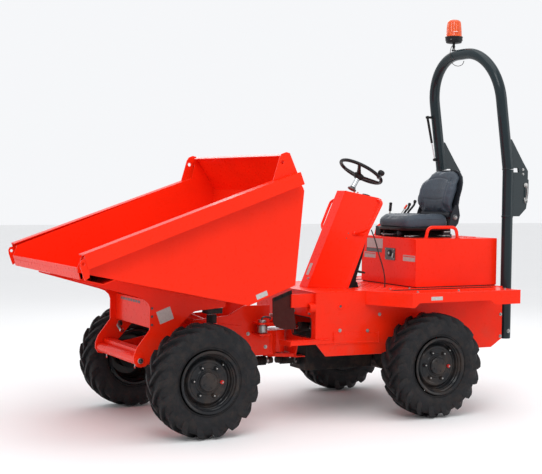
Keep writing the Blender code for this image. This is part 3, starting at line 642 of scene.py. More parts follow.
class DUMPER_OT_rims(bpy.types.Operator):
    """Dished six-stud rims with hub caps, nuts and valves"""

    bl_idname = "dumper.rims"
    bl_label = "Rims"

    def execute(self, context):
        studs, circle = 6, 0.1025
        for name, x, side in WHEELS:
            centre = Vector((x, side * HALF_TRACK, WHEEL_Z))
            axis = Vector((0, side, 0))
            w = TYRE_HALF
            front = [(0.100, 0), (0.100, 0.030), (0.098, 0.046), (0.0985, 0.048), (0.0975, 0.058),
                     (0.092, 0.0635), (0.076, 0.0645), (0.0745, 0.071), (0.070, 0.073), (0.069, 0.084),
                     (0.0655, 0.088), (0.0655, 0.122), (0.069, 0.128), (0.069, 0.140), (0.062, 0.149),
                     (0.052, 0.153), (0.048, 0.160), (0.052, 0.1665), (0.066, 0.169), (0.074, 0.1715),
                     (0.078, 0.176), (0.090, 0.178), (0.0945, 0.182), (0.099, 0.1855), (0.109, 0.187),
                     (0.1125, 0.189), (w - 0.003, 0.195), (w, 0.200), (w, 0.205), (w - 0.004, 0.2075),
                     (w - 0.008, 0.206)]
            back = [(w - 0.010, 0.197), (0.100, 0.1935), (0.085, 0.190), (0.060, 0.182), (0.040, 0.176),
                    (-0.040, 0.176), (-0.060, 0.1955), (0.010 - w, 0.1975), (0.008 - w, 0.208),
                    (-w, 0.206), (-w, 0.190), (-0.070, 0.188), (-0.050, 0.170), (0.032, 0.162),
                    (0.050, 0.146), (0.050, 0.10), (0.030, 0.098), (0.030, 0)]
            shape = Shape("wheel_black").turned(front + back, centre, axis, count=72)
            for i in range(studs):
                a = 2 * math.pi * i / studs + 0.44
                spot = centre + axis * 0.0655 + circle * Vector((math.sin(a), 0, math.cos(a)))
                shape.use("steel").rod(spot, spot + axis * 0.023, 0.0052, count=12, edge=0.001)
                shape.use("mark_red" if i == 4 else "wheel_black")
                shape.shell([ring(spot - axis * 0.001, axis, 0.0135, 6), ring(spot + axis * 0.011, axis, 0.0135, 6),
                             ring(spot + axis * 0.0145, axis, 0.0105, 6)])
            for i in range(4):
                a = math.pi / 2 * i + 0.4
                spot = centre + axis * 0.0985 + 0.040 * Vector((math.sin(a), 0, math.cos(a)))
                shape.bolt(spot, axis, 0.0048, "wheel_black", washer=False)
            a = -0.75
            spot = centre + axis * 0.060 + 0.157 * Vector((math.sin(a), 0, math.cos(a)))
            lean = (axis - 0.35 * Vector((math.sin(a), 0, math.cos(a)))).normalized()
            shape.use("rubber").rod(spot, spot + lean * 0.018, 0.0075, 0.0055, count=12)
            shape.use("zinc").rod(spot + lean * 0.017, spot + lean * 0.034, 0.0042, count=12, edge=0.0008)
            shape.finish("dished_rim_" + name, "wheel_" + name, "black_paint", ("rim_" + name,),
                         crease=28)
        return {"FINISHED"}


# ---------------------------------------------------------------- skip
def belly(x):
    """Height of the skip's sloping floor."""
    return 0.857 + 0.209 * (x - 1.51)


class DUMPER_OT_skip(bpy.types.Operator):
    """Finish of the skip and of the frame under it, with plates, welds and pins"""

    bl_idname = "dumper.skip"
    bl_label = "Skip"

    def execute(self, context):
        dress("skip_tub", "red", 0.0012)
        dress("skip_underframe", "red", 0.0018)
        half = 0.706
        shape = Shape("red_bars")
        for s in (1, -1):
            y = s * (half - 0.006)
            run = [(1.104, y, 1.615), (1.163, y, 0.992), (1.51, y, 0.866), (2.66, y, belly(2.66) + 0.008)]
            shape.tube(rounded(run, 0.02), 0.005, 8)
            shape.tube([(1.105, y, 1.63), (1.250, y, 1.852)], 0.0045, 8)
            shape.tube([(1.55, s * 0.383, belly(1.55) - 0.001), (2.42, s * 0.383, belly(2.42) - 0.001)], 0.006, 8)
            shape.tube([(2.016, s * 0.366, 0.69), (2.016, s * 0.366, 0.864)], 0.005, 8)
        shape.tube([(1.166, -half + 0.01, 0.986), (1.166, half - 0.01, 0.986)], 0.005, 8)
        shape.tube([(1.51, -half + 0.01, 0.8625), (1.51, half - 0.01, 0.8625)], 0.005, 8)
        shape.finish("skip_weld_beads", "skip", "red_paint", crease=60)

        shape = Shape("steel")
        for s in (1, -1):
            y = s * 0.380
            hub = Vector((2.145, y, 0.487))
            shape.use("red").rod(hub, hub + Vector((0, s * 0.007, 0)), 0.034, count=28, edge=0.0015)
            shape.use("zinc").rod(hub + Vector((0, s * 0.0122, 0)), hub + Vector((0, s * 0.020, 0)), 0.0195,
                                  count=24, edge=0.002)
            shape.use("plate_dark").rod(hub + Vector((0, s * 0.019, 0)), hub + Vector((0, s * 0.026, 0)), 0.005,
                                        count=10, edge=0.001)
            for x, z in ((2.060, 0.830), (2.060, 0.775), (2.060, 0.720)):
                shape.bolt((x, s * (0.380 + 0.0002), z), (0, s, 0), 0.0055, "plate_dark")
        shape.finish("skip_pivot_caps", "skip", "steel", crease=30)

        shape = Shape("plate_dark")
        face = 2.0302
        shape.slab((face, -0.09, 0.8450), (0, 1, 0), (0, 0, 1), (1, 0, 0), 0.36, 0.018, 0.0016)
        for i in range(7):
            shape.use("red").slab((face + 0.0010, -0.23 + 0.047 * i, 0.8450), (0, 1, 0), (0, 0, 1),
                                  (1, 0, 0), 0.006, 0.019, 0.002)
        shape.use("rubber").rod((face - 0.004, -0.265, 0.664), (face + 0.020, -0.265, 0.664), 0.020, edge=0.003)
        shape.use("plate_dark").tube(rounded([(face + 0.010, -0.265, 0.664), (face + 0.030, -0.245, 0.652),
                                              (face + 0.032, -0.180, 0.628)], 0.02), 0.014, 14)
        shape.use("zinc").rod((face + 0.032, -0.180, 0.628), (face + 0.033, -0.158, 0.620), 0.0155, count=6)
        shape.finish("underframe_front_fittings", "skip", "black_paint", bevel=0.0006)

        shape = Shape("plate_white")
        spot = Vector((1.967, 0.3803, 0.780))
        along = Vector((0.94, 0, -0.34)).normalized()
        up = Vector((0.34, 0, 0.94)).normalized()
        shape.slab(spot, along, up, (0, 1, 0), 0.105, 0.088, 0.0006)
        rise = Vector((0.941, 0, -0.338))
        shape.use("plate_white").slab((1.412, half + 0.0002, 0.925), rise, (0.338, 0, 0.941), (0, 1, 0),
                                      0.086, 0.034, 0.0006)
        shape.finish("skip_blank_plates", "skip", "steel", bevel=0.0002)
        for side, s in SIDES:
            low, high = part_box("skip_buffer_" + side)
            x0, x1 = low.x - AXLE_X, high.x - AXLE_X
            shape = Shape("rubber")
            shape.box(x0 + 0.001, x1 - 0.001, low.y + 0.001, high.y - 0.001, low.z, high.z - 0.006)
            shape.use("steel").box(x0, x1, low.y, high.y, high.z - 0.008, high.z)
            for x in (x0 + 0.03, x1 - 0.03):
                shape.bolt((x, (low.y + high.y) / 2, low.z + 0.003), (0, 0, -1), 0.007)
            shape.finish("skip_rubber_buffer_" + side, "skip", "rubber", ("skip_buffer_" + side,), bevel=0.003)
        return {"FINISHED"}


# ---------------------------------------------------------------- front frame and drive line
class DUMPER_OT_front_frame(bpy.types.Operator):
    """Finish of the front frame with its bosses, pins, grease nipples and drive shafts"""

    bl_idname = "dumper.front_frame"
    bl_label = "Front frame"

    def execute(self, context):
        dress("front_frame", "red", 0.0015)
        dress("front_axle", "black_steel", 0.002)
        dress("rear_axle", "black_steel", 0.002)
        dress("engine_block", "cast_grey", 0.004)
        dress("gearbox", "cast_grey", 0.004)
        dress("centre_pin", "steel", 0.001)
        shape = Shape("cast_grey")
        for s in (1, -1):
            shape.rod((1.595, s * 0.315, 0.706), (1.595, s * 0.315, 0.7655), 0.0355, count=28, edge=0.003)
            shape.use("red").rod((1.595, s * 0.315, 0.690), (1.595, s * 0.315, 0.707), 0.040, count=28, edge=0.002)
            shape.use("cast_grey")
        shape.use("steel").rod((1.165, 0.24, 0.665), (1.165, 0.24, 0.7035), 0.0305, count=28, edge=0.0025)
        shape.use("plate_dark").tube(
            smooth_path([(1.165, 0.24, 0.702), (1.162, 0.238, 0.716), (1.140, 0.232, 0.722), (1.095, 0.215, 0.715),
                         (1.075, 0.195, 0.700)]), 0.0075, 10)
        shape.use("red").tube(rounded([(1.30, 0.168, 0.66), (1.50, 0.168, 0.685), (1.66, 0.168, 0.70)], 0.05), 0.006,
                              10)
        for x, z in ((1.10, 0.50), (1.10, 0.60), (1.24, 0.50), (1.24, 0.60)):
            for s in (1, -1):
                shape.bolt((x, s * 0.1702, z), (0, s, 0), 0.009)
        for x in (2.075, 2.10):
            shape.use("red").tube([(x, -0.355, 0.547), (x, 0.355, 0.547)], 0.0035, 8)
        for s in (1, -1):
            shape.use("zinc").rod((2.135, s * 0.27, 0.458), (2.135, s * 0.27, 0.430), 0.0045, count=10)
            shape.use("mark_red").rod((2.135, s * 0.27, 0.431), (2.135, s * 0.27, 0.420), 0.007, 0.004, count=10)
        shape.finish("front_frame_fittings", "front_body", "red_paint", bevel=0.0006)

        for name in ("rear_shaft", "front_shaft"):
            low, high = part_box(name)
            a, b = low.x - AXLE_X, high.x - AXLE_X
            z = WHEEL_Z
            shape = Shape("steel").rod((a + 0.01, 0, z), (b - 0.01, 0, z), 0.022, count=24)
            wide = (a, a + 0.03) if name == "rear_shaft" else (b - 0.03, b)
            shape.use("cast_grey").rod((wide[0], 0, z), (wide[1], 0, z), 0.045, count=28, edge=0.003)
            fork = b if name == "rear_shaft" else a
            inward = -1 if name == "rear_shaft" else 1
            shape.rod((fork, 0, z), (fork + inward * 0.035, 0, z), 0.024, 0.027, count=24, edge=0.002)
            shape.use("rubber")
            reach = a + 0.05 if name == "rear_shaft" else a + 0.06
            folds = []
            for i in range(17):
                folds.append((reach + 0.006 * i, 0.030 if i % 2 else 0.036))
            shape.turned([(folds[0][0], 0.022)] + folds + [(folds[-1][0], 0.022)], (0, 0, z), (1, 0, 0), 28)
            for i in range(4):
                a2 = math.pi / 2 * i + 0.5
                spot = Vector((wide[0] if name == "rear_shaft" else wide[1], 0, z))
                spot += 0.036 * Vector((0, math.sin(a2), math.cos(a2)))
                shape.bolt(spot + Vector((0.031 if name == "rear_shaft" else -0.031, 0, 0)),
                           (1 if name == "rear_shaft" else -1, 0, 0), 0.006)
            body = "rear_body" if name == "rear_shaft" else "front_body"
            shape.finish("universal_" + name, body, "steel", (name,), bevel=0.0006)
        return {"FINISHED"}


class DUMPER_OT_rams(bpy.types.Operator):
    """Tipping and steering cylinders with glands, ports and bright rods"""

    bl_idname = "dumper.rams"
    bl_label = "Rams"

    def execute(self, context):
        rams = (
            ("tip_ram", (1.22, 0.0, 0.545), (1.92, 0.0, 0.82), (0, 1, 0), 0.60, 0.042, 0.022, 0.056, "red",
             "tip_barrel", "tip_rod", "red_paint", 0.022),
            ("steer_ram", (0.51, 0.24, 0.64), (1.165, 0.24, 0.64), (0, 0, 1), 0.36, 0.032, 0.015, 0.050,
             "black_steel", "steer_barrel", "steer_rod", "black_paint", 0.0),
        )
        for (name, base, eye, axis, long, wide, rod_radius, eye_width, paint, barrel, rod_body, slot,
             bore) in rams:
            base, eye, axis = Vector(base), Vector(eye), Vector(axis)
            along = (eye - base).normalized()
            out = axis.cross(along).normalized()
            half = axis * eye_width / 2
            shape = Shape(paint).rod(base - half, base + half, 0.036, count=32, edge=0.002)
            section = [(0.022, 0), (0.022, wide * 0.8), (0.028, wide), (long - 0.045, wide),
                       (long - 0.045, wide + 0.005),
                       (long - 0.004, wide + 0.005), (long, wide + 0.002), (long, rod_radius + 0.002),
                       (0.045, rod_radius + 0.002), (0.045, 0)]
            shape.turned(section, base, along, 36)
            for spot in (0.07, long - 0.07):
                port = base + along * spot + out * (wide - 0.004)
                shape.use(paint).rod(port, port + out * 0.016, 0.013, count=16, edge=0.001)
                shape.use("zinc").rod(port + out * 0.015, port + out * 0.028, 0.0115, count=6)
            shape.use("rubber").turned([(long - 0.001, rod_radius + 0.001), (long - 0.001, rod_radius + 0.009),
                                        (long + 0.004, rod_radius + 0.006), (long + 0.004, rod_radius + 0.001)],
                                       base, along, 28, closed=True)
            shape.finish(name + "_cylinder", barrel, slot, (name + "_barrel",), bevel=0.0005)
            inner = 0.10 if bore else 0.19
            shape = Shape("chrome").rod(base + along * inner, eye - along * 0.030, rod_radius, count=32)
            if bore:
                shape.use("steel").turned([(-eye_width / 2, bore), (-eye_width / 2, 0.034), (eye_width / 2, 0.034),
                                           (eye_width / 2, bore)], eye, axis, 32, closed=True)
            else:
                shape.use("steel").rod(eye - half, eye + half, 0.034, count=32, edge=0.002)
                shape.rod(eye - axis * 0.031, eye + axis * 0.031, 0.014, count=20)
            shape.finish(name + "_bright_rod", rod_body, "steel", (name + "_rod",), bevel=0.0005)
        return {"FINISHED"}


# ---------------------------------------------------------------- rear chassis and fenders
class DUMPER_OT_chassis(bpy.types.Operator):
    """Finish of the rear chassis with its bolted plates, ring, ports and anti-slip floor"""

    bl_idname = "dumper.chassis"
    bl_label = "Rear chassis"

    def execute(self, context):
        dress("rear_chassis", "red", 0.0015)
        half = 0.450
        shape = Shape("red")
        for s in (1, -1):
            skirt = [(0.700, 0.612), (0.330, 0.600), (0.330, 0.520), (0.700, 0.530)]
            shape.use("red").prism(skirt, "xz", *sorted((s * (half + 0.0003), s * (half + 0.004))))
            shape.tube(rounded([(0.704, s * (half + 0.004), 0.618), (0.706, s * (half + 0.004), 0.532),
                                (0.66, s * (half + 0.004), 0.527)], 0.012), 0.0035, 8)
            shape.tube([(0.326, s * (half + 0.003), 0.606), (0.322, s * (half + 0.003), 0.522)], 0.0035, 8)
            shape.tube([(0.84, s * (half + 0.001), 0.548), (0.32, s * (half + 0.001), 0.531)], 0.006, 8)
            for x, z in ((0.650, 0.628), (0.418, 0.6165), (0.317, 0.731)):
                shape.bolt((x, s * (half + 0.0002), z), (0, s, 0), 0.0085)
            for z in (0.689, 0.521):
                shape.bolt((-0.786, s * (half + 0.0002), z), (0, s, 0), 0.0085)
            shape.use("red").turned([(-0.002, 0.010), (-0.002, 0.021), (0.003, 0.021), (0.0045, 0.019),
                                     (0.0045, 0.010)], (0.649, s * (half + 0.0003), 0.80), (0, s, 0), 28, closed=True)
            shape.use("plate_dark").rod((0.649, s * (half + 0.0004), 0.80), (0.649, s * (half + 0.002), 0.80), 0.0105)
            shape.use("red").tube([(0.848, s * (half - 0.001), 0.56), (0.848, s * (half - 0.001), 0.90)], 0.005, 8)
            fold = [(0.845, s * (half - 0.002), 0.9035), (-0.04, s * (half - 0.002), 0.9035)]
            shape.tube(fold, 0.0045, 8)
        shape.tube([(0.8485, -half + 0.006, 0.9020), (0.8485, half - 0.006, 0.9020)], 0.005, 8)
        for y0 in (0.14, 0.36):
            shape.use("zinc")
            shape.bolt((0.8502, y0, 0.748), (1, 0, 0), 0.008)
        shape.use("red").turned([(0, 0.020), (0, 0.034), (0.045, 0.034), (0.047, 0.032), (0.047, 0.020)],
                                (0.8505, 0.425, 0.795), (1, 0, 0), 24, closed=True)
        frame_edge = [(0.112, 0.572), (0.388, 0.572), (0.388, 0.718), (0.112, 0.718)]
        rim_line = [Vector((0.8515, y, z)) for y, z in frame_edge]
        rim_line = rounded([(rim_line[0] + rim_line[1]) / 2] + rim_line[1:] + [rim_line[0]]
                           + [(rim_line[0] + rim_line[1]) / 2], 0.03)
        shape.use("rubber").tube(rim_line[:-1], 0.004, 8, closed=True)
        for s in (1, -1):
            shape.bolt((0.90, s * 0.20, 0.6902), (0, 0, 1), 0.008)
            shape.bolt((0.868, s * 0.115, 0.4100), (0, 0, -1), 0.008)
        for y in (-0.30, -0.10, 0.10, 0.30):
            for z in (0.56, 0.86):
                shape.bolt((-0.8002, y, z), (-1, 0, 0), 0.0085)
        shape.use("red").tube(rounded([(-0.806, -0.10, 0.63), (-0.835, -0.10, 0.63), (-0.835, 0.10, 0.63),
                                       (-0.806, 0.10, 0.63)], 0.02), 0.008, 12)
        shape.use("plate_yellow").slab((-0.8003, 0.0, 0.80), (0, 1, 0), (0, 0, 1), (-1, 0, 0), 0.30, 0.060, 0.001)
        shape.finish("chassis_fittings", "rear_body", "red_paint", bevel=0.0005)

        shape = Shape("red_bars")
        for i in range(11):
            for k in range(21):
                x, y = 0.045 + 0.034 * i, -0.40 + 0.040 * k
                if abs(y) < 0.27 and x > 0.44 or abs(x - 0.346) < 0.016 and abs(y - 0.155) < 0.02:
                    continue
                tilt = math.radians(38 if (i + k) % 2 else -38)
                along = Vector((math.cos(tilt), math.sin(tilt), 0))
                over = Vector((-along.y, along.x, 0))
                spot = Vector((x, y, DECK_Z + 0.0001))
                rings = []
                for z, grow in ((-0.0003, 1.0), (0.0016, 0.75), (0.0026, 0.35)):
                    rings.append([spot + along * a * grow + over * b * grow + Vector((0, 0, z))
                                  for a, b in ((-0.015, 0), (-0.006, -0.0042), (0.006, -0.0042), (0.015, 0),
                                               (0.006, 0.0042), (-0.006, 0.0042))])
                shape.shell(rings)
        shape.finish("floor_tread_pattern", "rear_body", "red_paint", crease=50)

        dress("step", "red", 0.0015)
        shape = Shape("red_bars")
        for i in range(8):
            x = 0.882 + 0.022 * i
            for k in range(5):
                y = 0.312 + 0.027 * k + (0.0135 if i % 2 else 0)
                if y < 0.440:
                    shape.shell([ring((x, y, 0.5578), (0, 0, 1), 0.0080, 10),
                                 ring((x, y, 0.5610), (0, 0, 1), 0.0062, 10),
                                 ring((x, y, 0.5612), (0, 0, 1), 0.0030, 10)])
        shape.tube([(0.735, 0.4605, 0.5695), (1.050, 0.4605, 0.5695)], 0.0035, 8)
        shape.finish("step_tread_studs", "rear_body", "red_paint", crease=40)

        shape = Shape("plate_dark")
        for x0, y0 in ((0.20, 0.40), (0.03, 0.40), (0.20, -0.40), (0.03, -0.40)):
            shape.bolt((x0 + 0.01, y0 + 0.02, DECK_Z + 0.0002), (0, 0, 1), 0.0075)
        shape.finish("floor_bolts", "rear_body", "steel", bevel=0.0004)
        return {"FINISHED"}


class DUMPER_OT_fenders(bpy.types.Operator):
    """Finish of the fenders with their tread strips, plates and stays"""

    bl_idname = "dumper.fenders"
    bl_label = "Fenders"

    def execute(self, context):
        for side, s in SIDES:
            dress("fender_" + side, "red", 0.0016)
            shape = Shape("anti_slip")
            shape.box(-0.66, 0.24, *sorted((s * 0.472, s * 0.520)), DECK_Z + 0.0002, DECK_Z + 0.0018)
            shape.use("red_bars").tube([(-0.699, s * 0.7835, DECK_Z - 0.001), (0.258, s * 0.7835, DECK_Z - 0.001)],
                                       0.004, 8)
            shape.use("plate_white").slab((0.052, s * 0.7853, 0.866), (1, 0, 0), (0, 0, 1), (0, s, 0),
                                          0.098, 0.026, 0.0006)
            for x in (-0.62, -0.20, 0.16):
                shape.bolt((x, s * 0.70, DECK_Z + 0.0002), (0, 0, 1), 0.0075, "zinc")
            stay = [(-0.40, s * 0.458, 0.835), (-0.40, s * 0.60, 0.872), (-0.40, s * 0.775, 0.896)]
            shape.use("red").tube(stay, 0.011, 12)
            stay = [(0.08, s * 0.458, 0.835), (0.08, s * 0.60, 0.872), (0.08, s * 0.775, 0.896)]
            shape.tube(stay, 0.011, 12)
            lamp = Vector((-0.7005, s * 0.70, 0.855))
            shape.use("plastic").slab(lamp, (0, 1, 0), (0, 0, 1), (-1, 0, 0), 0.110, 0.062, 0.010)
            shape.use("mark_red").slab(lamp + Vector((-0.0095, s * 0.018, 0)), (0, 1, 0), (0, 0, 1), (-1, 0, 0),
                                       0.060, 0.048, 0.010)
            shape.use("amber").slab(lamp + Vector((-0.0095, -s * 0.033, 0)), (0, 1, 0), (0, 0, 1), (-1, 0, 0),
                                    0.034, 0.048, 0.010)
            shape.finish("fender_fittings_" + side, "rear_body", "red_paint", bevel=0.001)
        return {"FINISHED"}


class DUMPER_OT_flap(bpy.types.Operator):
    """The rubber flap beside the centre joint, hung from a bolted bar"""

    bl_idname = "dumper.flap"
    bl_label = "Splash flap"

    def execute(self, context):
        outline = [(1.172, 0.872), (1.022, 0.925), (0.982, 0.652), (1.00, 0.646), (1.082, 0.650), (1.140, 0.668),
                   (1.160, 0.690), (1.168, 0.713)]
        shape = Shape("flap").prism(outline, "xz", 0.4012, 0.4078)
        shape.use("black_steel").prism([(1.165, 0.868), (1.024, 0.919), (1.021, 0.897), (1.163, 0.846)], "xz",
                                       0.4078, 0.4105)
        for x in (1.045, 1.095, 1.145):
            shape.bolt((x, 0.4105, 0.911 - 0.36 * (x - 1.022)), (0, 1, 0), 0.0058, "black_steel")
        shape.finish("hung_flap", "rear_body", "rubber", ("splash_flap",), bevel=0.001)
        return {"FINISHED"}


# ---------------------------------------------------------------- console and steering
COLUMN_TILT = math.radians(30.4)
COLUMN = Vector((-math.sin(COLUMN_TILT), 0, math.cos(COLUMN_TILT)))
WHEEL_AT = Vector((0.211, 0, 1.767))
CONSOLE_HALF = 0.255


class DUMPER_OT_console(bpy.types.Operator):
    """Finish of the console with its handles, dials, pedals and cable"""

    bl_idname = "dumper.console"
    bl_label = "Console"

    def execute(self, context):
        dress("console", "red", 0.004)
        for side, s in SIDES:
            path = [(0.240, 0.215, 1.556), (0.258, 0.290, 1.551), (0.268, 0.333, 1.535), (0.282, 0.342, 1.505),
                    (0.335, 0.342, 1.383), (0.350, 0.335, 1.350), (0.368, 0.290, 1.324), (0.384, 0.200, 1.306)]
            near = 0.12 if s > 0 else 0.0
            path = [(x - near * (z - 1.306), s * y, z) for x, y, z in path]
            shape = Shape("red_bars").tube(smooth_path(path, 6), 0.0108, 20)
            for spot, way in ((path[0], (-0.6, -s, 0.1)), (path[-1], (-0.2, -s, -0.1))):
                spot, way = Vector(spot), Vector(way).normalized()
                shape.rod(spot - way * 0.016, spot + way * 0.010, 0.0155, count=20, edge=0.003)
            shape.finish("bent_grab_handle_" + side, "rear_body", "red_paint", ("grab_handle_" + side,), crease=50)

        shape = Shape("plate_white")
        slope = Vector((-0.317, 0, 0.717)).normalized()
        left_low, left_high = Vector((0.700, 0.06, DECK_Z)), Vector((0.505, CONSOLE_HALF, DECK_Z))
        wide = (left_high - left_low).normalized()
        out = wide.cross(slope).normalized()
        if out.x < 0:
            out = -out
        front_out = Vector((0.915, 0, 0.404))
        front_up = Vector((-0.404, 0, 0.915))
        spot = Vector((0.700 - 0.442 * (1.037 - DECK_Z) + 0.0006, -0.012, 1.037))
        shape.use("plate_white").slab(spot, front_up, (0, 1, 0), front_out, 0.094, 0.040, 0.0006)
        shape.bolt((0.700 - 0.442 * 0.065 + 0.0006, 0.026, DECK_Z + 0.065), front_out, 0.006)
        for s in (1, -1):
            for h in (0.44, 0.40):
                hole = left_low + wide * 0.150 + slope * h + out * 0.0006
                hole, face = Vector((hole.x, hole.y * s, hole.z)), Vector((out.x, out.y * s, out.z))
                shape.use("plate_dark").rod(hole - face * 0.002, hole + face * 0.0008, 0.004, count=12)
        lean = Vector((0.17, 0, 0.05)).normalized()
        normal = Vector((-0.05, 0, 0.17)).normalized()
        for y in (-0.115, 0.115):
            spot = Vector((0.235, y, 1.5865))
            shape.use("plastic").rod(spot - normal * 0.006, spot + normal * 0.007, 0.032, count=32, edge=0.003)
            shape.use("dial").rod(spot + normal * 0.0065, spot + normal * 0.0078, 0.0265, count=32)
            shape.use("mark_red").slab(spot + normal * 0.0079 + lean * 0.006, lean, (0, 1, 0), normal, 0.020, 0.002,
                                       0.0006)
        for i in range(5):
            spot = Vector((0.300, -0.10 + 0.05 * i, 1.607)) + normal * 0.002
            shape.use(("mark_red", "amber", "plate_yellow", "amber", "mark_red")[i])
            shape.rod(spot - normal * 0.004, spot + normal * 0.004, 0.006, count=14, edge=0.001)
        shape.use("zinc").rod(Vector((0.225, -0.19, 1.584)) - normal * 0.004,
                              Vector((0.225, -0.19, 1.584)) + normal * 0.009,
                              0.012, count=20, edge=0.002)
        shape.use("plastic").slab(Vector((0.225, -0.19, 1.590)) + normal * 0.004, (0, 1, 0), lean, normal, 0.006,
                                  0.022, 0.026)
        shape.finish("console_dials_and_plates", "rear_body", "steel", bevel=0.0004)

        shape = Shape("black_steel")
        for s in (1, -1):
            inner = [(0.455, DECK_Z + 0.001), (0.392, DECK_Z + 0.001), (0.367, 0.970), (0.314, 1.130), (0.274, 1.300),
                     (0.236, 1.420), (0.262, 1.420), (0.300, 1.300), (0.400, 1.050)]
            shape.prism(inner, "xz", *sorted((s * 0.196, s * 0.201)))
        shape.finish("console_inner_frame", "rear_body", "black_paint", bevel=0.001)

        shape = Shape("black_steel")
        shape.rod((0.346, 0.155, DECK_Z + 0.0005), (0.350, 0.155, 1.10), 0.009, count=16)
        shape.prism([(0.325, DECK_Z + 0.0005), (0.370, DECK_Z + 0.0005), (0.362, 0.945), (0.335, 0.945)], "xz", 0.140,
                    0.147)
        shape.prism([(0.325, DECK_Z + 0.0005), (0.370, DECK_Z + 0.0005), (0.362, 0.945), (0.335, 0.945)], "xz", 0.163,
                    0.170)
        shape.tube(smooth_path([(0.347, 0.155, 1.035), (0.325, 0.157, 1.022), (0.305, 0.158, 1.016)], 5), 0.007, 12)
        tread = Vector((0.322, 0.157, 1.0155))
        shape.use("rubber").slab(tread, (0.97, 0, 0.22), (0, 1, 0), (-0.22, 0, 0.97), 0.070, 0.085, 0.011)
        for k in range(5):
            shape.slab(tread + Vector((-0.026 + 0.013 * k, 0, 0.0105 + 0.0029 * (k - 2))), (0.97, 0, 0.22), (0, 1, 0),
                       (-0.22, 0, 0.97), 0.005, 0.078, 0.003)
        shape.finish("foot_pedal", "rear_body", "black_plastic", ("pedal",), bevel=0.001)

        line = smooth_path([(0.262, 0.236, 1.335), (0.248, 0.240, 1.300), (0.222, 0.241, 1.236), (0.196, 0.239, 1.160),
                            (0.160, 0.236, 1.068), (0.136, 0.230, 0.995), (0.128, 0.226, 0.945),
                            (0.128, 0.224, 0.9062)], 6)
        cable("console_cable", line, 0.0048, "rear_body", "hose")
        return {"FINISHED"}


def cable(name, line, radius, body, finish):
    """A round cable along a line."""
    shape = Shape(finish).tube(line, radius, 12)
    piece = shape.finish(name, body, "black_plastic", crease=60)
    return piece


class DUMPER_OT_steering(bpy.types.Operator):
    """Steering wheel with three spokes and a spinner knob, on its column"""

    bl_idname = "dumper.steering"
    bl_label = "Steering wheel"

    def execute(self, context):
        side = Vector((0, 1, 0))
        ahead = side.cross(COLUMN)
        major = 0.168
        points = []
        count = 96
        for i in range(count):
            a = 2 * math.pi * i / count
            points.append(WHEEL_AT + major * (math.cos(a) * ahead + math.sin(a) * side))
        shape = Shape("plastic").tube(points, 0.0132, 16, closed=True)
        hub = [(-0.064, 0), (-0.064, 0.026), (-0.058, 0.031), (-0.044, 0.037), (-0.034, 0.040), (-0.026, 0.038),
               (-0.022, 0.030), (-0.020, 0.0)]
        shape.turned(hub, WHEEL_AT, COLUMN, 36)
        shape.use("plate_dark").rod(WHEEL_AT - COLUMN * 0.021, WHEEL_AT - COLUMN * 0.0185, 0.020, count=28, edge=0.0008)
        for turn in (49, 169, 289):
            a = math.radians(turn)
            out = math.cos(a) * ahead + math.sin(a) * side
            over = COLUMN.cross(out)
            rings = []
            for t, wide, thick in ((0.14, 0.022, 0.010), (0.35, 0.017, 0.009), (0.6, 0.0135, 0.008),
                                   (0.85, 0.0135, 0.0085), (1.0, 0.018, 0.010)):
                drop = -0.040 * (1 - t) ** 1.15
                spot = WHEEL_AT + out * major * t + COLUMN * drop
                rings.append([spot + over * wide * math.cos(b) + COLUMN * thick * math.sin(b)
                              for b in (2 * math.pi * k / 14 for k in range(14))])
            shape.use("plastic").shell(rings)
        a = math.radians(118)
        seat = WHEEL_AT + major * (math.cos(a) * ahead + math.sin(a) * side)
        shape.use("plate_dark").rod(seat - COLUMN * 0.016, seat + COLUMN * 0.016, 0.015, count=24, edge=0.003)
        knob = [(0.010, 0), (0.010, 0.010), (0.015, 0.013), (0.020, 0.021), (0.030, 0.0260), (0.042, 0.0255),
                (0.051, 0.019), (0.054, 0.0)]
        shape.use("plastic").turned(knob, seat, COLUMN, 28)
        shape.finish("three_spoke_wheel", "steering", "black_plastic", ("steering_wheel",), crease=40)

        foot = WHEEL_AT - COLUMN * 0.157
        shape = Shape("chrome").rod(foot + COLUMN * 0.004, WHEEL_AT - COLUMN * 0.067, 0.0190, count=32)
        collar = [(-0.002, 0), (-0.002, 0.034), (0.005, 0.034), (0.008, 0.031), (0.012, 0.024), (0.020, 0.0225),
                  (0.020, 0)]
        shape.use("plate_dark").turned(collar, foot, COLUMN, 32)
        shape.finish("column_tube", "rear_body", "steel", ("steering_column",), crease=35)
        return {"FINISHED"}


# ---------------------------------------------------------------- seat
def superellipse(half_x, half_y, power, count=40):
    found = []
    for i in range(count):
        a = 2 * math.pi * i / count
        c, s = math.cos(a), math.sin(a)
        found.append((half_x * math.copysign(abs(c) ** (2 / power), c),
                      half_y * math.copysign(abs(s) ** (2 / power), s)))
    return found


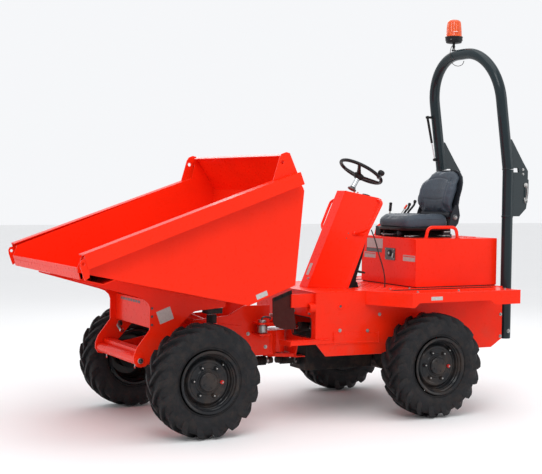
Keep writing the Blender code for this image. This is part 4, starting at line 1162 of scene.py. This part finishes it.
def puffed(piece, settings):
    """Remeshes the pad evenly, swells it under pressure and caps how far a point moves."""
    scene = bpy.context.scene

    def bake():
        graph = bpy.context.evaluated_depsgraph_get()
        mesh = bpy.data.meshes.new_from_object(piece.evaluated_get(graph))
        piece.modifiers.clear()
        old = piece.data
        piece.data = mesh
        bpy.data.meshes.remove(old)

    even = piece.modifiers.new("even", "REMESH")
    even.mode = "VOXEL"
    even.voxel_size = settings.voxel
    bake()
    rest = [v.co.copy() for v in piece.data.vertices]
    cloth = piece.modifiers.new("foam", "CLOTH")
    cloth.settings.quality = 5
    cloth.settings.use_pressure = True
    cloth.settings.uniform_pressure_force = settings.pressure
    cloth.settings.effector_weights.gravity = 0
    cloth.settings.tension_stiffness = 20
    cloth.settings.compression_stiffness = 20
    cloth.settings.bending_stiffness = 2
    cloth.point_cache.frame_start = 1
    cloth.point_cache.frame_end = 20
    for moment in range(1, 21):
        scene.frame_set(moment)
    bake()
    scene.frame_set(1)
    for vert, start in zip(piece.data.vertices, rest):
        move = vert.co - start
        if move.length > settings.swell:
            vert.co = start + move.normalized() * settings.swell
    fine = piece.modifiers.new("fine", "SUBSURF")
    fine.levels = fine.render_levels = 1
    bake()


def carve(piece, seam):
    """Presses seams into the pad; seam gives a depth for a point laid out from the rear axle."""
    mesh = piece.data
    moves = []
    for vert in mesh.vertices:
        spot = Vector((vert.co.x - AXLE_X, vert.co.y, vert.co.z))
        moves.append(vert.normal * -seam(spot, vert.normal))
    for vert, move in zip(mesh.vertices, moves):
        vert.co += move
    mesh.shade_smooth()


def groove(distance, width, depth):
    return depth * math.exp(-(distance / width) ** 2)


def cushion_seams(spot, normal):
    if normal.z < 0.2:
        edge = abs(spot.z - 1.405)
        return groove(edge, 0.004, 0.0022)
    side = abs(abs(spot.y) - (0.135 + 0.05 * (spot.x + 0.29) ** 2 * 10))
    depth = groove(side, 0.006, 0.0045) if -0.46 < spot.x < -0.12 else 0
    front = abs(spot.x + 0.165 - 0.25 * spot.y ** 2)
    depth += groove(front, 0.006, 0.0035) if abs(spot.y) < 0.14 else 0
    mid = abs(spot.x + 0.315)
    depth += groove(mid, 0.006, 0.0028) if abs(spot.y) < 0.13 else 0
    dish = max(0.0, 1 - (spot.y / 0.15) ** 2) * max(0.0, 1 - ((spot.x + 0.31) / 0.17) ** 2)
    return depth + 0.009 * dish


def back_seams(spot, normal):
    if normal.x < 0.15:
        return 0.0
    rise = (spot.z - 1.46) / 0.34
    side = abs(abs(spot.y) - (0.120 + 0.035 * math.sin(math.pi * min(1, max(0, rise)))))
    depth = groove(side, 0.006, 0.0045) if 0.08 < rise < 0.80 else 0
    arc = abs(spot.z - (1.735 - 1.1 * spot.y ** 2))
    depth += groove(arc, 0.006, 0.0035) if abs(spot.y) < 0.15 else 0
    low = abs(spot.z - (1.560 + 0.5 * spot.y ** 2))
    depth += groove(low, 0.006, 0.0028) if abs(spot.y) < 0.125 else 0
    dish = max(0.0, 1 - (spot.y / 0.15) ** 2) * max(0.0, 1 - ((rise - 0.45) / 0.5) ** 2)
    return depth + 0.012 * dish


class DUMPER_OT_seat(bpy.types.Operator):
    """Operator's seat: puffed cushion and back, back shell, pan, bellows and slides"""

    bl_idname = "dumper.seat"
    bl_label = "Seat"

    def execute(self, context):
        settings = context.scene.dumper_seat
        shape = Shape("vinyl")
        rings = []
        for z, grow, shift in ((1.346, 0.90, 0), (1.352, 0.955, 0), (1.372, 0.975, 0), (1.402, 0.965, 0),
                               (1.420, 0.925, -0.002), (1.431, 0.84, -0.004)):
            ring_points = []
            for x, y in superellipse(0.226, 0.233, 5.0, 56):
                lift = 0.010 * (abs(y) / 0.233) ** 3 if z > 1.40 else 0
                drop = 0.014 * max(0, x / 0.226) ** 4 if z > 1.40 else 0
                ring_points.append(Vector((-0.272 + shift + x * grow, y * grow, z + lift - drop)))
            rings.append(ring_points)
        cushion = shape.shell(rings).finish("seat_cushion_pad", "cover", "seat_vinyl", ("seat_cushion",))
        puffed(cushion, settings)
        carve(cushion, cushion_seams)

        shape = Shape("vinyl")
        rings = []
        rows = ((1.447, -0.507, 0.185, 0.028), (1.465, -0.505, 0.203, 0.036), (1.52, -0.504, 0.214, 0.043),
                (1.58, -0.509, 0.226, 0.048), (1.64, -0.524, 0.231, 0.048), (1.69, -0.542, 0.223, 0.044),
                (1.735, -0.560, 0.198, 0.040), (1.768, -0.573, 0.160, 0.034), (1.788, -0.582, 0.112, 0.026))
        for z, x, half, thick in rows:
            ring_points = []
            for a, b in superellipse(thick, half, 2.7, 44):
                wing = 0.026 * (abs(b) / half) ** 3 if 1.47 < z < 1.73 else 0
                ring_points.append(Vector((x + a + wing, b, z)))
            rings.append(ring_points)
        back = shape.shell(rings).finish("seat_back_pad", "cover", "seat_vinyl", ("seat_back",))
        puffed(back, settings)
        carve(back, back_seams)

        shape = Shape("shell")
        rings = []
        for z, x, half, thick in rows:
            ring_points = []
            for a, b in superellipse(0.016, half + 0.008, 2.9, 44):
                wing = 0.018 * (abs(b) / half) ** 3
                ring_points.append(Vector((x - thick - 0.004 + a + wing, b, z + 0.003)))
            rings.append(ring_points)
        shape.shell(rings)
        for s in (1, -1):
            shape.prism([(-0.500, 1.345), (-0.440, 1.345), (-0.455, 1.400), (-0.478, 1.470), (-0.500, 1.520),
                         (-0.530, 1.520), (-0.545, 1.440), (-0.530, 1.380)], "xz",
                        *sorted((s * 0.2265, s * 0.2365)))
            shape.use("plate_dark").rod((-0.498, s * 0.2325, 1.425), (-0.498, s * 0.246, 1.425), 0.024, 0.021,
                                        count=28, edge=0.003)
            shape.bolt((-0.498, s * 0.2455, 1.425), (0, s, 0), 0.008)
            shape.use("shell")
        shape.rod((-0.492, -0.185, 1.440), (-0.492, 0.185, 1.440), 0.030, count=24, edge=0.012)
        shape.use("plastic").box(-0.558, -0.527, -0.10, 0.10, 1.285, 1.52)
        shape.box(-0.555, -0.41, -0.12, 0.12, 1.276, 1.292)
        shape.finish("seat_back_shell", "cover", "black_plastic", bevel=0.002)

        shape = Shape("plastic")
        rings = []
        for z, grow in ((1.322, 0.90), (1.326, 0.955), (1.336, 0.985), (1.346, 0.99), (1.349, 0.97)):
            rings.append([Vector((-0.276 + x * grow, y * grow, z)) for x, y in superellipse(0.222, 0.227, 5, 48)])
        shape.shell(rings)
        shape.use("rubber")
        rings = []
        folds = 5
        for i in range(2 * folds + 1):
            z = COVER_TOP + 0.006 + (1.324 - COVER_TOP - 0.006) * i / (2 * folds)
            grow = 0.93 if i % 2 else 0.82
            rings.append([Vector((-0.305 + x * grow, y * grow, z)) for x, y in superellipse(0.196, 0.200, 4.2, 48)])
        shape.shell(rings)
        shape.use("black_steel").box(-0.50, -0.115, -0.195, 0.195, COVER_TOP + 0.0004, COVER_TOP + 0.008)
        for s in (1, -1):
            shape.use("zinc").box(-0.505, -0.10, s * 0.150 - 0.012, s * 0.150 + 0.012, COVER_TOP + 0.007,
                                  COVER_TOP + 0.017)
            for x in (-0.49, -0.118):
                shape.bolt((x, s * 0.180, COVER_TOP + 0.008), (0, 0, 1), 0.007)
        knob = [(0, 0), (0, 0.020), (0.006, 0.024), (0.020, 0.024), (0.028, 0.019), (0.030, 0)]
        shape.use("shell").turned(knob, (-0.112, 0.075, 1.303), (1, 0, 0), 20)
        shape.use("plate_dark").tube(rounded([(-0.115, -0.13, 1.296), (-0.062, -0.13, 1.290), (-0.062, 0.02, 1.290),
                                              (-0.115, 0.02, 1.296)], 0.02), 0.006, 12)
        shape.use("plastic").box(-0.47, -0.40, 0.198, 0.222, 1.290, 1.322)
        shape.use("zinc").box(-0.462, -0.408, 0.2215, 0.2235, 1.312, 1.319)
        shape.finish("seat_suspension", "cover", "black_paint", ("seat_base",), bevel=0.001)
        return {"FINISHED"}


# ---------------------------------------------------------------- engine cover
def label(shape, x, y0, y1, z0, z1, bands):
    """A blank sticker on the cover's front face, with plain coloured bands if any."""
    shape.use("plate_white").box(x, x + 0.0006, y0, y1, z0, z1)
    high = z1 - z0
    for finish, low, top in bands:
        shape.use(finish).box(x + 0.0002, x + 0.0010, y0 + 0.006, y1 - 0.006, z0 + low * high, z0 + top * high)


class DUMPER_OT_cover(bpy.types.Operator):
    """Engine cover with its louvres, seals, latches, rails and blank plates"""

    bl_idname = "dumper.cover"
    bl_label = "Engine cover"

    def execute(self, context):
        dress("engine_cover", "red", 0.003)
        front = COVER_FRONT + 0.0002
        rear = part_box("engine_cover")[0].x - AXLE_X
        shape = Shape("plate_white")
        label(shape, front, -0.300, -0.075, 1.178, 1.252, ())
        shape.use("plate_dark").box(front, front + 0.0008, -0.306, -0.085, 1.146, 1.176)
        label(shape, front, -0.336, -0.175, 1.098, 1.141, (("mark_red", 0.68, 0.88),))
        label(shape, front, 0.205, 0.365, 1.098, 1.143, (("mark_red", 0.68, 0.88),))
        shape.use("plate_dark").box(front, front + 0.004, -0.036, 0.100, 1.095, 1.187)
        shape.use("plastic").rod((front + 0.003, 0.030, 1.148), (front + 0.012, 0.030, 1.148), 0.026, count=28,
                                 edge=0.002)
        shape.use("zinc").rod((front + 0.011, 0.030, 1.148), (front + 0.015, 0.030, 1.148), 0.011, count=20, edge=0.001)
        shape.slab((front + 0.004, 0.076, 1.132), (0, 0.3, 1), (0, 1, -0.3), (1, 0, 0), 0.036, 0.016, 0.006)
        for y, z in ((-0.026, 1.177), (0.090, 1.177), (-0.026, 1.105), (0.090, 1.105)):
            shape.bolt((front + 0.004, y, z), (1, 0, 0), 0.0045, "zinc", washer=False)
        shape.finish("cover_blank_plates", "cover", "steel", bevel=0.0003)

        shape = Shape("red_bars")
        for s in (1, -1):
            shape.tube([(front - 0.002, s * (COVER_HALF - 0.001), 0.914),
                        (front - 0.002, s * (COVER_HALF - 0.001), 1.266)],
                       0.0028, 8)
        for i in range(8):
            z = 0.975 + 0.028 * i
            rings = [[Vector((rear - a, y, z + b)) for a, b in ((-0.001, -0.007), (0.009, -0.005), (0.010, -0.003),
                                                                (-0.001, 0.011))] for y in (-0.27, 0.27)]
            shape.shell(rings)
            rings = [[Vector((x, -COVER_HALF - a, z + b)) for a, b in ((-0.001, -0.007), (0.007, -0.005),
                                                                       (0.008, -0.003), (-0.001, 0.011))]
                     for x in (-0.70, -0.42)]
            shape.shell(rings)
        for i in range(6):
            rings = [[Vector((-0.68 + 0.022 * i + b, y, COVER_TOP + a)) for a, b in
                      ((-0.001, -0.006), (0.005, -0.004), (0.006, -0.002), (-0.001, 0.008))] for y in (0.05, 0.26)]
            shape.shell(rings)
        shape.finish("cover_louvres", "cover", "red_paint", bevel=0.0005)

        shape = Shape("rubber")
        edge = 0.9075
        loop = [(front - 0.006, 0.003 - COVER_HALF, edge), (front - 0.006, COVER_HALF - 0.003, edge),
                (rear + 0.006, COVER_HALF - 0.003, edge), (rear + 0.006, -COVER_HALF + 0.003, edge)]
        start = (loop[0][0], 0, edge)
        shape.tube(rounded([start, loop[1], loop[2], loop[3], loop[0], start], 0.02)[:-1], 0.0042, 8, closed=True)
        for s in (1, -1):
            shape.use("plate_dark").rod((rear - 0.001, s * 0.26, 0.922), (rear - 0.001, s * 0.34, 0.922), 0.0085,
                                        count=16,
                                        edge=0.001)
            if s < 0:
                shape.use("plastic").slab((-0.40, -COVER_HALF - 0.0002, 0.940), (1, 0, 0), (0, 0, 1), (0, -1, 0),
                                          0.036, 0.050, 0.008)
                shape.use("zinc").rod((-0.40, s * (COVER_HALF + 0.008), 0.946),
                                      (-0.40, s * (COVER_HALF + 0.012), 0.946),
                                      0.009, count=18, edge=0.001)
        shape.finish("cover_seal_and_latches", "cover", "rubber", bevel=0.0006)

        for side, s in SIDES:
            y = s * 0.345
            top = COVER_TOP + 0.0004
            bend = rounded([(-0.153, y, top), (-0.172, y, 1.354), (-0.428, y, 1.354), (-0.443, y, top)], 0.042, 8)
            shape = Shape("red_bars").tube(bend, 0.0125, 20)
            for x in (-0.153, -0.443):
                shape.rod((x, y, top), (x, y, top + 0.005), 0.0215, count=24, edge=0.0015)
            shape.finish("seat_rail_" + side, "cover", "red_paint", ("cover_rail_" + side,), crease=50)
        return {"FINISHED"}


class DUMPER_OT_levers(bpy.types.Operator):
    """Lever stand with boots, a gripped lever, a red-tipped lever and two bent ones"""

    bl_idname = "dumper.levers"
    bl_label = "Levers"

    def execute(self, context):
        y = -0.286
        shape = Shape("plastic").box(-0.400, -0.135, -0.320, -0.252, COVER_TOP + 0.0004, 1.345)
        for x in (-0.17, -0.30, -0.375):
            shape.use("zinc")
            shape.bolt((x, -0.2518, 1.30), (0, 1, 0), 0.005)
        boots = (-0.235, -0.310, -0.345, -0.378)
        for x in boots:
            profile = [(0, 0), (0, 0.0165)]
            for i in range(4):
                profile += [(0.004 + 0.006 * i, 0.0165 - 0.0025 * i), (0.007 + 0.006 * i, 0.0125 - 0.0022 * i)]
            profile += [(0.032, 0.0045), (0.032, 0)]
            shape.use("rubber").turned(profile, (x, y, 1.345), (0, 0, 1), 20)
        shape.use("zinc").rod((-0.235, y, 1.350), (-0.247, y, 1.468), 0.0058, count=14)
        grip = [(0, 0), (0, 0.009)]
        for i in range(5):
            grip += [(0.005 + 0.010 * i, 0.0125), (0.011 + 0.010 * i, 0.0105)]
        grip += [(0.058, 0.0130), (0.066, 0.0120), (0.070, 0.007), (0.071, 0)]
        shape.use("plastic").turned(grip, (-0.247, y, 1.462), (-0.09, 0, 1), 22)
        shape.use("zinc").tube(smooth_path([(-0.310, y, 1.350), (-0.338, y, 1.42), (-0.385, y, 1.482)], 6), 0.0052, 12)
        shape.use("yellow_grip").rod((-0.384, y, 1.480), (-0.408, y, 1.512), 0.0092, 0.0080, count=18, edge=0.002)
        for x, tip_x, tip_z in ((-0.345, -0.432, 1.515), (-0.378, -0.485, 1.538)):
            line = smooth_path([(x, y, 1.350), (x - 0.018, y, 1.405), (x - 0.045, y, 1.455),
                                (tip_x + 0.012, y, tip_z - 0.030),
                                (tip_x, y, tip_z)], 6)
            shape.use("plastic").tube(line, 0.0085, 14)
            shape.turned([(-0.012, 0), (-0.012, 0.009), (-0.004, 0.0125), (0.006, 0.0130), (0.013, 0.009), (0.015, 0)],
                         line[-1], line[-1] - line[-3], 20)
        shape.finish("lever_bank", "cover", "black_plastic", ("lever_stand",), bevel=0.001)
        return {"FINISHED"}


# ---------------------------------------------------------------- roll-over hoop and beacon
HOOP_RAKE = math.radians(8.2)
HOOP_HEIGHT, HOOP_BEND, LEG_TOP, TUBE_RADIUS = 0.927, 0.377, 1.79, 0.042
LEAN = Vector((math.sin(HOOP_RAKE), 0, math.cos(HOOP_RAKE)))
HINGE = Vector((-1.0, 0, 1.68))


def on_hoop(y, height):
    """The middle of the hoop's tube plane at a height along its rake."""
    return Vector((LEG_X, 0, LEG_TOP)) + LEAN * height + Vector((0, y, 0))


def hoop_line(steps=20):
    line = [on_hoop(LEG_Y, 0.010), on_hoop(LEG_Y, 0.25)]
    for i in range(steps + 1):
        a = math.pi / 2 * i / steps
        line.append(on_hoop(LEG_Y - HOOP_BEND + HOOP_BEND * math.cos(a),
                            HOOP_HEIGHT - HOOP_BEND + HOOP_BEND * math.sin(a)))
    mirrored = [Vector((p.x, -p.y, p.z)) for p in reversed(line)]
    return line + mirrored


class DUMPER_OT_hoop(bpy.types.Operator):
    """Folding roll-over hoop with its legs, hinge plates, pins and stay"""

    bl_idname = "dumper.hoop"
    bl_label = "Roll-over hoop"

    def execute(self, context):
        for side, s in SIDES:
            y = s * LEG_Y
            shape = Shape("slate").rod((LEG_X, y, 0.50), (LEG_X, y, LEG_TOP - 0.004), TUBE_RADIUS, count=40, edge=0.003)
            shape.rod(Vector((LEG_X, y, 1.765)), Vector((LEG_X, y, LEG_TOP)) + LEAN * 0.0080, TUBE_RADIUS, count=40)
            outline = [(LEG_X - 0.030, 1.44), (-0.945, 1.44), (-1.010, 1.50), (-1.030, 1.62), (-1.030, 1.72),
                       (-1.000, 1.745), (-0.955, 1.765), (-0.930, 1.778), (LEG_X - 0.030, 1.778)]
            for inner, outer in ((0.014, 0.024), (-0.024, -0.014)):
                shape.prism(outline, "xz", y + inner, y + outer)
            shape.rod((LEG_X, y, 1.430), (LEG_X, y, 1.446), TUBE_RADIUS + 0.003, count=40, edge=0.002)
            for z in (0.56, 0.84):
                shape.use("zinc")
                shape.bolt((LEG_X, y + s * (TUBE_RADIUS - 0.001), z), (0, s, 0), 0.010)
            out = s
            shape.use("zinc").rod((HINGE.x, y - 0.034, HINGE.z), (HINGE.x, y + 0.034, HINGE.z), 0.012, count=24,
                                  edge=0.0015)
            shape.rod((HINGE.x, y + out * 0.0245, HINGE.z), (HINGE.x, y + out * 0.031, HINGE.z), 0.019, count=24,
                      edge=0.002)
            lock = Vector((-1.000, 0, 1.570))
            shape.rod((lock.x, y - 0.033, lock.z), (lock.x, y + 0.033, lock.z), 0.010, count=20, edge=0.0015)
            shape.rod((lock.x, y + out * 0.0245, lock.z), (lock.x, y + out * 0.030, lock.z), 0.016, count=24,
                      edge=0.002)
            bar = rounded([(HINGE.x, y + out * 0.036, HINGE.z - 0.004), (HINGE.x - 0.004, y + out * 0.044, 1.63),
                           (lock.x, y + out * 0.036, lock.z + 0.004)], 0.03)
            shape.tube(bar, 0.0045, 10)
            clip = [Vector((lock.x + 0.014 * math.cos(a), y + out * 0.036, lock.z - 0.014 + 0.014 * math.sin(a)))
                    for a in (2 * math.pi * i / 20 for i in range(20))]
            shape.tube(clip, 0.0018, 8, closed=True)
            if s < 0:
                shape.use("hose").tube(smooth_path([(LEG_X + 0.046, y, 0.95), (LEG_X + 0.047, y, 1.30),
                                                    (LEG_X + 0.047, y, 1.66)], 6), 0.004, 10)
                for z in (1.02, 1.28, 1.55):
                    shape.use("plastic").rod((LEG_X, y, z - 0.004), (LEG_X, y, z + 0.004), TUBE_RADIUS + 0.0016,
                                             count=40)
                    shape.rod((LEG_X + 0.046, y, z - 0.005), (LEG_X + 0.046, y, z + 0.005), 0.0065, count=14)
            shape.finish("hoop_leg_" + side, "rear_body", "slate_paint", ("rops_leg_" + side,), bevel=0.0008, crease=40)

        shape = Shape("slate").tube(hoop_line(), TUBE_RADIUS, 36)
        for s in (1, -1):
            y = s * LEG_Y
            outline = [(LEG_X - 0.020, 1.81), (LEG_X + 0.01, 2.03), (LEG_X - 0.025, 2.03), (-0.985, 1.86),
                       (-1.035, 1.79), (-1.035, 1.68), (-1.018, 1.655), (-0.982, 1.655), (-0.960, 1.69),
                       (-0.940, 1.81)]
            shape.use("slate").prism(outline, "xz", y - 0.008, y + 0.008)
            base = on_hoop(y, 0.012)
            shape.rod(base - LEAN * 0.002, base + LEAN * 0.010, TUBE_RADIUS + 0.003, count=40, edge=0.002)
            for dz in (0.0, 0.035):
                shape.use("zinc")
                shape.bolt((-0.985, y + s * 0.0082, 1.765 + dz), (0, s, 0), 0.007)
        y = -LEG_Y
        ahead = Vector((1, 0, 0))
        high, low = on_hoop(y, 0.445) + ahead * 0.088, on_hoop(y, 0.095) + ahead * 0.058
        way = (low - high).normalized()
        for spot, reach in ((high, 0.055), (low, 0.030)):
            shape.use("black_steel").rod(spot - ahead * reach, spot, 0.011, 0.009, count=16, edge=0.002)
            shape.rod(spot - Vector((0, 0.012, 0)), spot + Vector((0, 0.012, 0)), 0.0125, count=18, edge=0.002)
        shape.use("plastic").rod(high, high + way * 0.215, 0.0100, count=18, edge=0.002)
        shape.use("chrome").rod(high + way * 0.210, low, 0.0048, count=14)
        shape.finish("folding_hoop", "hoop", "slate_paint", ("rops_hoop",), bevel=0.0008, crease=40)
        return {"FINISHED"}


class DUMPER_OT_beacon(bpy.types.Operator):
    """Amber beacon with a fluted lens, reflector, rubber foot and lead"""

    bl_idname = "dumper.beacon"
    bl_label = "Beacon"

    def execute(self, context):
        low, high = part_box("beacon_base")
        x, y = (low.x + high.x) / 2 - AXLE_X, (low.y + high.y) / 2
        foot, top = low.z, high.z
        shape = Shape("plastic")
        x, wide = x - 0.026, 1.22
        profile = [(0, 0), (0, 0.016), (0.004, 0.0175), (0.010, 0.0165), (0.012, 0.0105), (0.030, 0.0095),
                   (0.032, 0.0125), (0.038, 0.0125), (0.040, 0.0095), (0.056, 0.0100), (0.060, 0.030), (0.064, 0.048),
                   (0.070, 0.0515), (0.080, 0.0525), (0.082, 0.0555), (0.094, 0.0565), (0.096, 0.0545), (0.106, 0.0575),
                   (0.113, 0.0580), (top - foot - 0.001, 0.0565), (top - foot, 0.050), (top - foot, 0)]
        profile = [(along, radius * (wide if radius > 0.02 else 1)) for along, radius in profile]
        shape.turned(profile, (x, y, foot), (0, 0, 1), 48)
        shape.use("zinc").rod((x, y, foot + 0.011), (x, y, foot + 0.019), 0.0135, count=6)
        for k in range(3):
            a = 2 * math.pi * k / 3 + 0.6
            shape.bolt((x + 0.0555 * wide * math.cos(a), y + 0.0555 * wide * math.sin(a), foot + 0.088),
                       (math.cos(a), math.sin(a), 0), 0.0035, "zinc", washer=False)
        shape.finish("beacon_foot", "hoop", "black_plastic", ("beacon_base",), bevel=0.0004, crease=30)

        low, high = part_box("beacon_lens")
        floor, tall = low.z, high.z - low.z
        shape = Shape("amber")
        rings = []
        count = 96
        for t, radius, flute in ((0.0, 0.0515, 0), (0.02, 0.0520, 0), (0.05, 0.0505, 0.0006), (0.10, 0.0500, 0.0009),
                                 (0.30, 0.0485, 0.0009), (0.55, 0.0465, 0.0009), (0.75, 0.0445, 0.0008),
                                 (0.86, 0.0420, 0.0006), (0.93, 0.0370, 0.0003), (0.98, 0.0270, 0), (1.0, 0.0120, 0)):
            rings.append([Vector((x + wide * (radius + flute * math.cos(24 * a)) * math.cos(a),
                                  y + wide * (radius + flute * math.cos(24 * a)) * math.sin(a), floor + t * tall))
                          for a in (2 * math.pi * i / count for i in range(count))])
        inner = []
        for t, radius in ((0.97, 0.0105), (0.95, 0.024), (0.89, 0.034), (0.75, 0.0415), (0.40, 0.0450), (0.04, 0.0475),
                          (0.0, 0.0475)):
            inner.append([Vector((x + wide * radius * math.cos(a), y + wide * radius * math.sin(a), floor + t * tall))
                          for a in (2 * math.pi * i / count for i in range(count))])
        shape.shell(rings + inner, closed=False)
        shape.finish("beacon_dome", "hoop", "amber_lens", ("beacon_lens",), crease=30)

        shape = Shape("reflector").rod((x, y, floor), (x, y, floor + 0.020), 0.030, 0.024, count=28, edge=0.002)
        bowl = [(0.020, 0.0), (0.020, 0.012), (0.034, 0.026), (0.060, 0.032), (0.061, 0.030), (0.036, 0.023),
                (0.026, 0.010), (0.026, 0)]
        shape.turned(bowl, (x, y, floor + 0.004), (0.25, 0.55, 0.8), 28)
        shape.use("amber").rod((x, y, floor + 0.018), (x, y, floor + 0.060), 0.010, count=18, edge=0.004)
        shape.finish("beacon_reflector", "hoop", "steel", bevel=0.0003)

        bend = Vector((x, y, foot))
        run = ((0.0100, 0.006, 0.046), (0.034, 0.016, 0.030), (0.052, 0.024, -0.016), (0.052, 0.032, -0.066),
               (0.036, 0.044, -0.108), (0.006, 0.066, -0.124), (-0.018, 0.092, -0.112), (-0.026, 0.104, -0.0835))
        line = smooth_path([bend + Vector(step) for step in run], 6)
        cable("beacon_lead", line, 0.0026, "hoop", "hose")
        return {"FINISHED"}


# ---------------------------------------------------------------- stage
class DUMPER_OT_stage(bpy.types.Operator):
    """Pale floor and backdrop, soft studio lights and the camera"""

    bl_idname = "dumper.stage"
    bl_label = "Stage"

    def execute(self, context):
        settings = context.scene.dumper_stage
        scene = context.scene
        mesh = bpy.data.meshes.new("studio_floor")
        bm = bmesh.new()
        bmesh.ops.create_grid(bm, x_segments=8, y_segments=8, size=40)
        bm.to_mesh(mesh)
        bm.free()
        floor = bpy.data.objects.new("studio_floor", mesh)
        scene.collection.objects.link(floor)
        f = Finish("dumper_floor")
        f.link(f.blend(f.between(f.noise(0.6, 3), 0.3, 0.7), shade(settings.floor, 0.985), tuple(settings.floor)),
               "Base Color")
        f.set(Roughness=0.75)
        mesh.materials.append(f.made)

        world = bpy.data.worlds.new("studio")
        scene.world = world
        world.use_nodes = True
        back = world.node_tree.nodes["Background"]
        back.inputs["Color"].default_value = (0.97, 0.98, 1.0, 1)
        back.inputs["Strength"].default_value = 0.95

        target = Vector((0.0, 0.0, 1.0))
        for name, place, size, power in (("key", (3.2, 5.0, 6.0), 3.5, settings.key),
                                         ("top", (-0.5, 0.8, 6.5), 5.0, settings.key * 0.75),
                                         ("fill", (-5.5, 3.5, 2.5), 3.0, settings.key * 0.22),
                                         ("rim", (-3.0, -5.5, 4.5), 3.5, settings.key * 0.45)):
            lamp = bpy.data.lights.new(name, "AREA")
            lamp.energy = power
            lamp.size = size
            made = bpy.data.objects.new(name, lamp)
            made.location = place
            made.rotation_euler = (target - Vector(place)).to_track_quat("-Z", "Y").to_euler()
            scene.collection.objects.link(made)

        yaw, pitch, roll = math.radians(27.895), math.radians(2.349), math.radians(0.7066)
        back_way = Vector((math.sin(yaw) * math.cos(pitch), math.cos(yaw) * math.cos(pitch), math.sin(pitch)))
        right = (-back_way).cross(Vector((0, 0, 1))).normalized()
        up = right.cross(-back_way)
        c, s = math.cos(roll), math.sin(roll)
        right, up = c * right + s * up, c * up - s * right
        data = bpy.data.cameras.new("studio_camera")
        data.sensor_fit = "HORIZONTAL"
        data.sensor_width = 36
        data.lens = settings.lens
        data.clip_end = 200
        camera = bpy.data.objects.new("studio_camera", data)
        pose = Matrix((right, up, back_way)).transposed().to_4x4()
        pose.translation = Vector((5.0939 + AXLE_X, 7.7799, 1.6386))
        camera.matrix_world = pose
        scene.collection.objects.link(camera)
        scene.camera = camera
        scene.view_settings.view_transform = "Standard"
        return {"FINISHED"}


# ---------------------------------------------------------------- add-on
PIECES = (DUMPER_OT_stage, DUMPER_OT_console, DUMPER_OT_beacon, DUMPER_OT_tyres, DUMPER_OT_rims, DUMPER_OT_skip,
          DUMPER_OT_front_frame, DUMPER_OT_rams, DUMPER_OT_chassis, DUMPER_OT_fenders, DUMPER_OT_flap,
          DUMPER_OT_steering, DUMPER_OT_seat, DUMPER_OT_cover, DUMPER_OT_levers, DUMPER_OT_hoop)
SETTINGS = {"dumper_paint": DumperPaint, "dumper_tyres": DumperTyres, "dumper_seat": DumperSeat,
            "dumper_stage": DumperStage}


class DUMPER_PT_panel(bpy.types.Panel):
    """Sizes, colours and the pieces in the order they are made"""

    bl_idname = "DUMPER_PT_panel"
    bl_label = "Site dumper"
    bl_space_type = "VIEW_3D"
    bl_region_type = "UI"
    bl_category = "Dumper"

    def draw(self, context):
        for name, group in SETTINGS.items():
            block = self.layout.box()
            for setting in group.__annotations__:
                block.prop(getattr(context.scene, name), setting)
        for piece in PIECES:
            self.layout.operator(piece.bl_idname)


def register():
    for group in (*SETTINGS.values(), *PIECES, DUMPER_PT_panel):
        bpy.utils.register_class(group)
    for name, group in SETTINGS.items():
        setattr(bpy.types.Scene, name, PointerProperty(type=group))


def unregister():
    for name in SETTINGS:
        delattr(bpy.types.Scene, name)
    for group in reversed((*SETTINGS.values(), *PIECES, DUMPER_PT_panel)):
        bpy.utils.unregister_class(group)


def main():
    register()
    for piece in PIECES:
        family, name = piece.bl_idname.split(".")
        getattr(getattr(bpy.ops, family), name)()


if __name__ == "__main__":
    main()
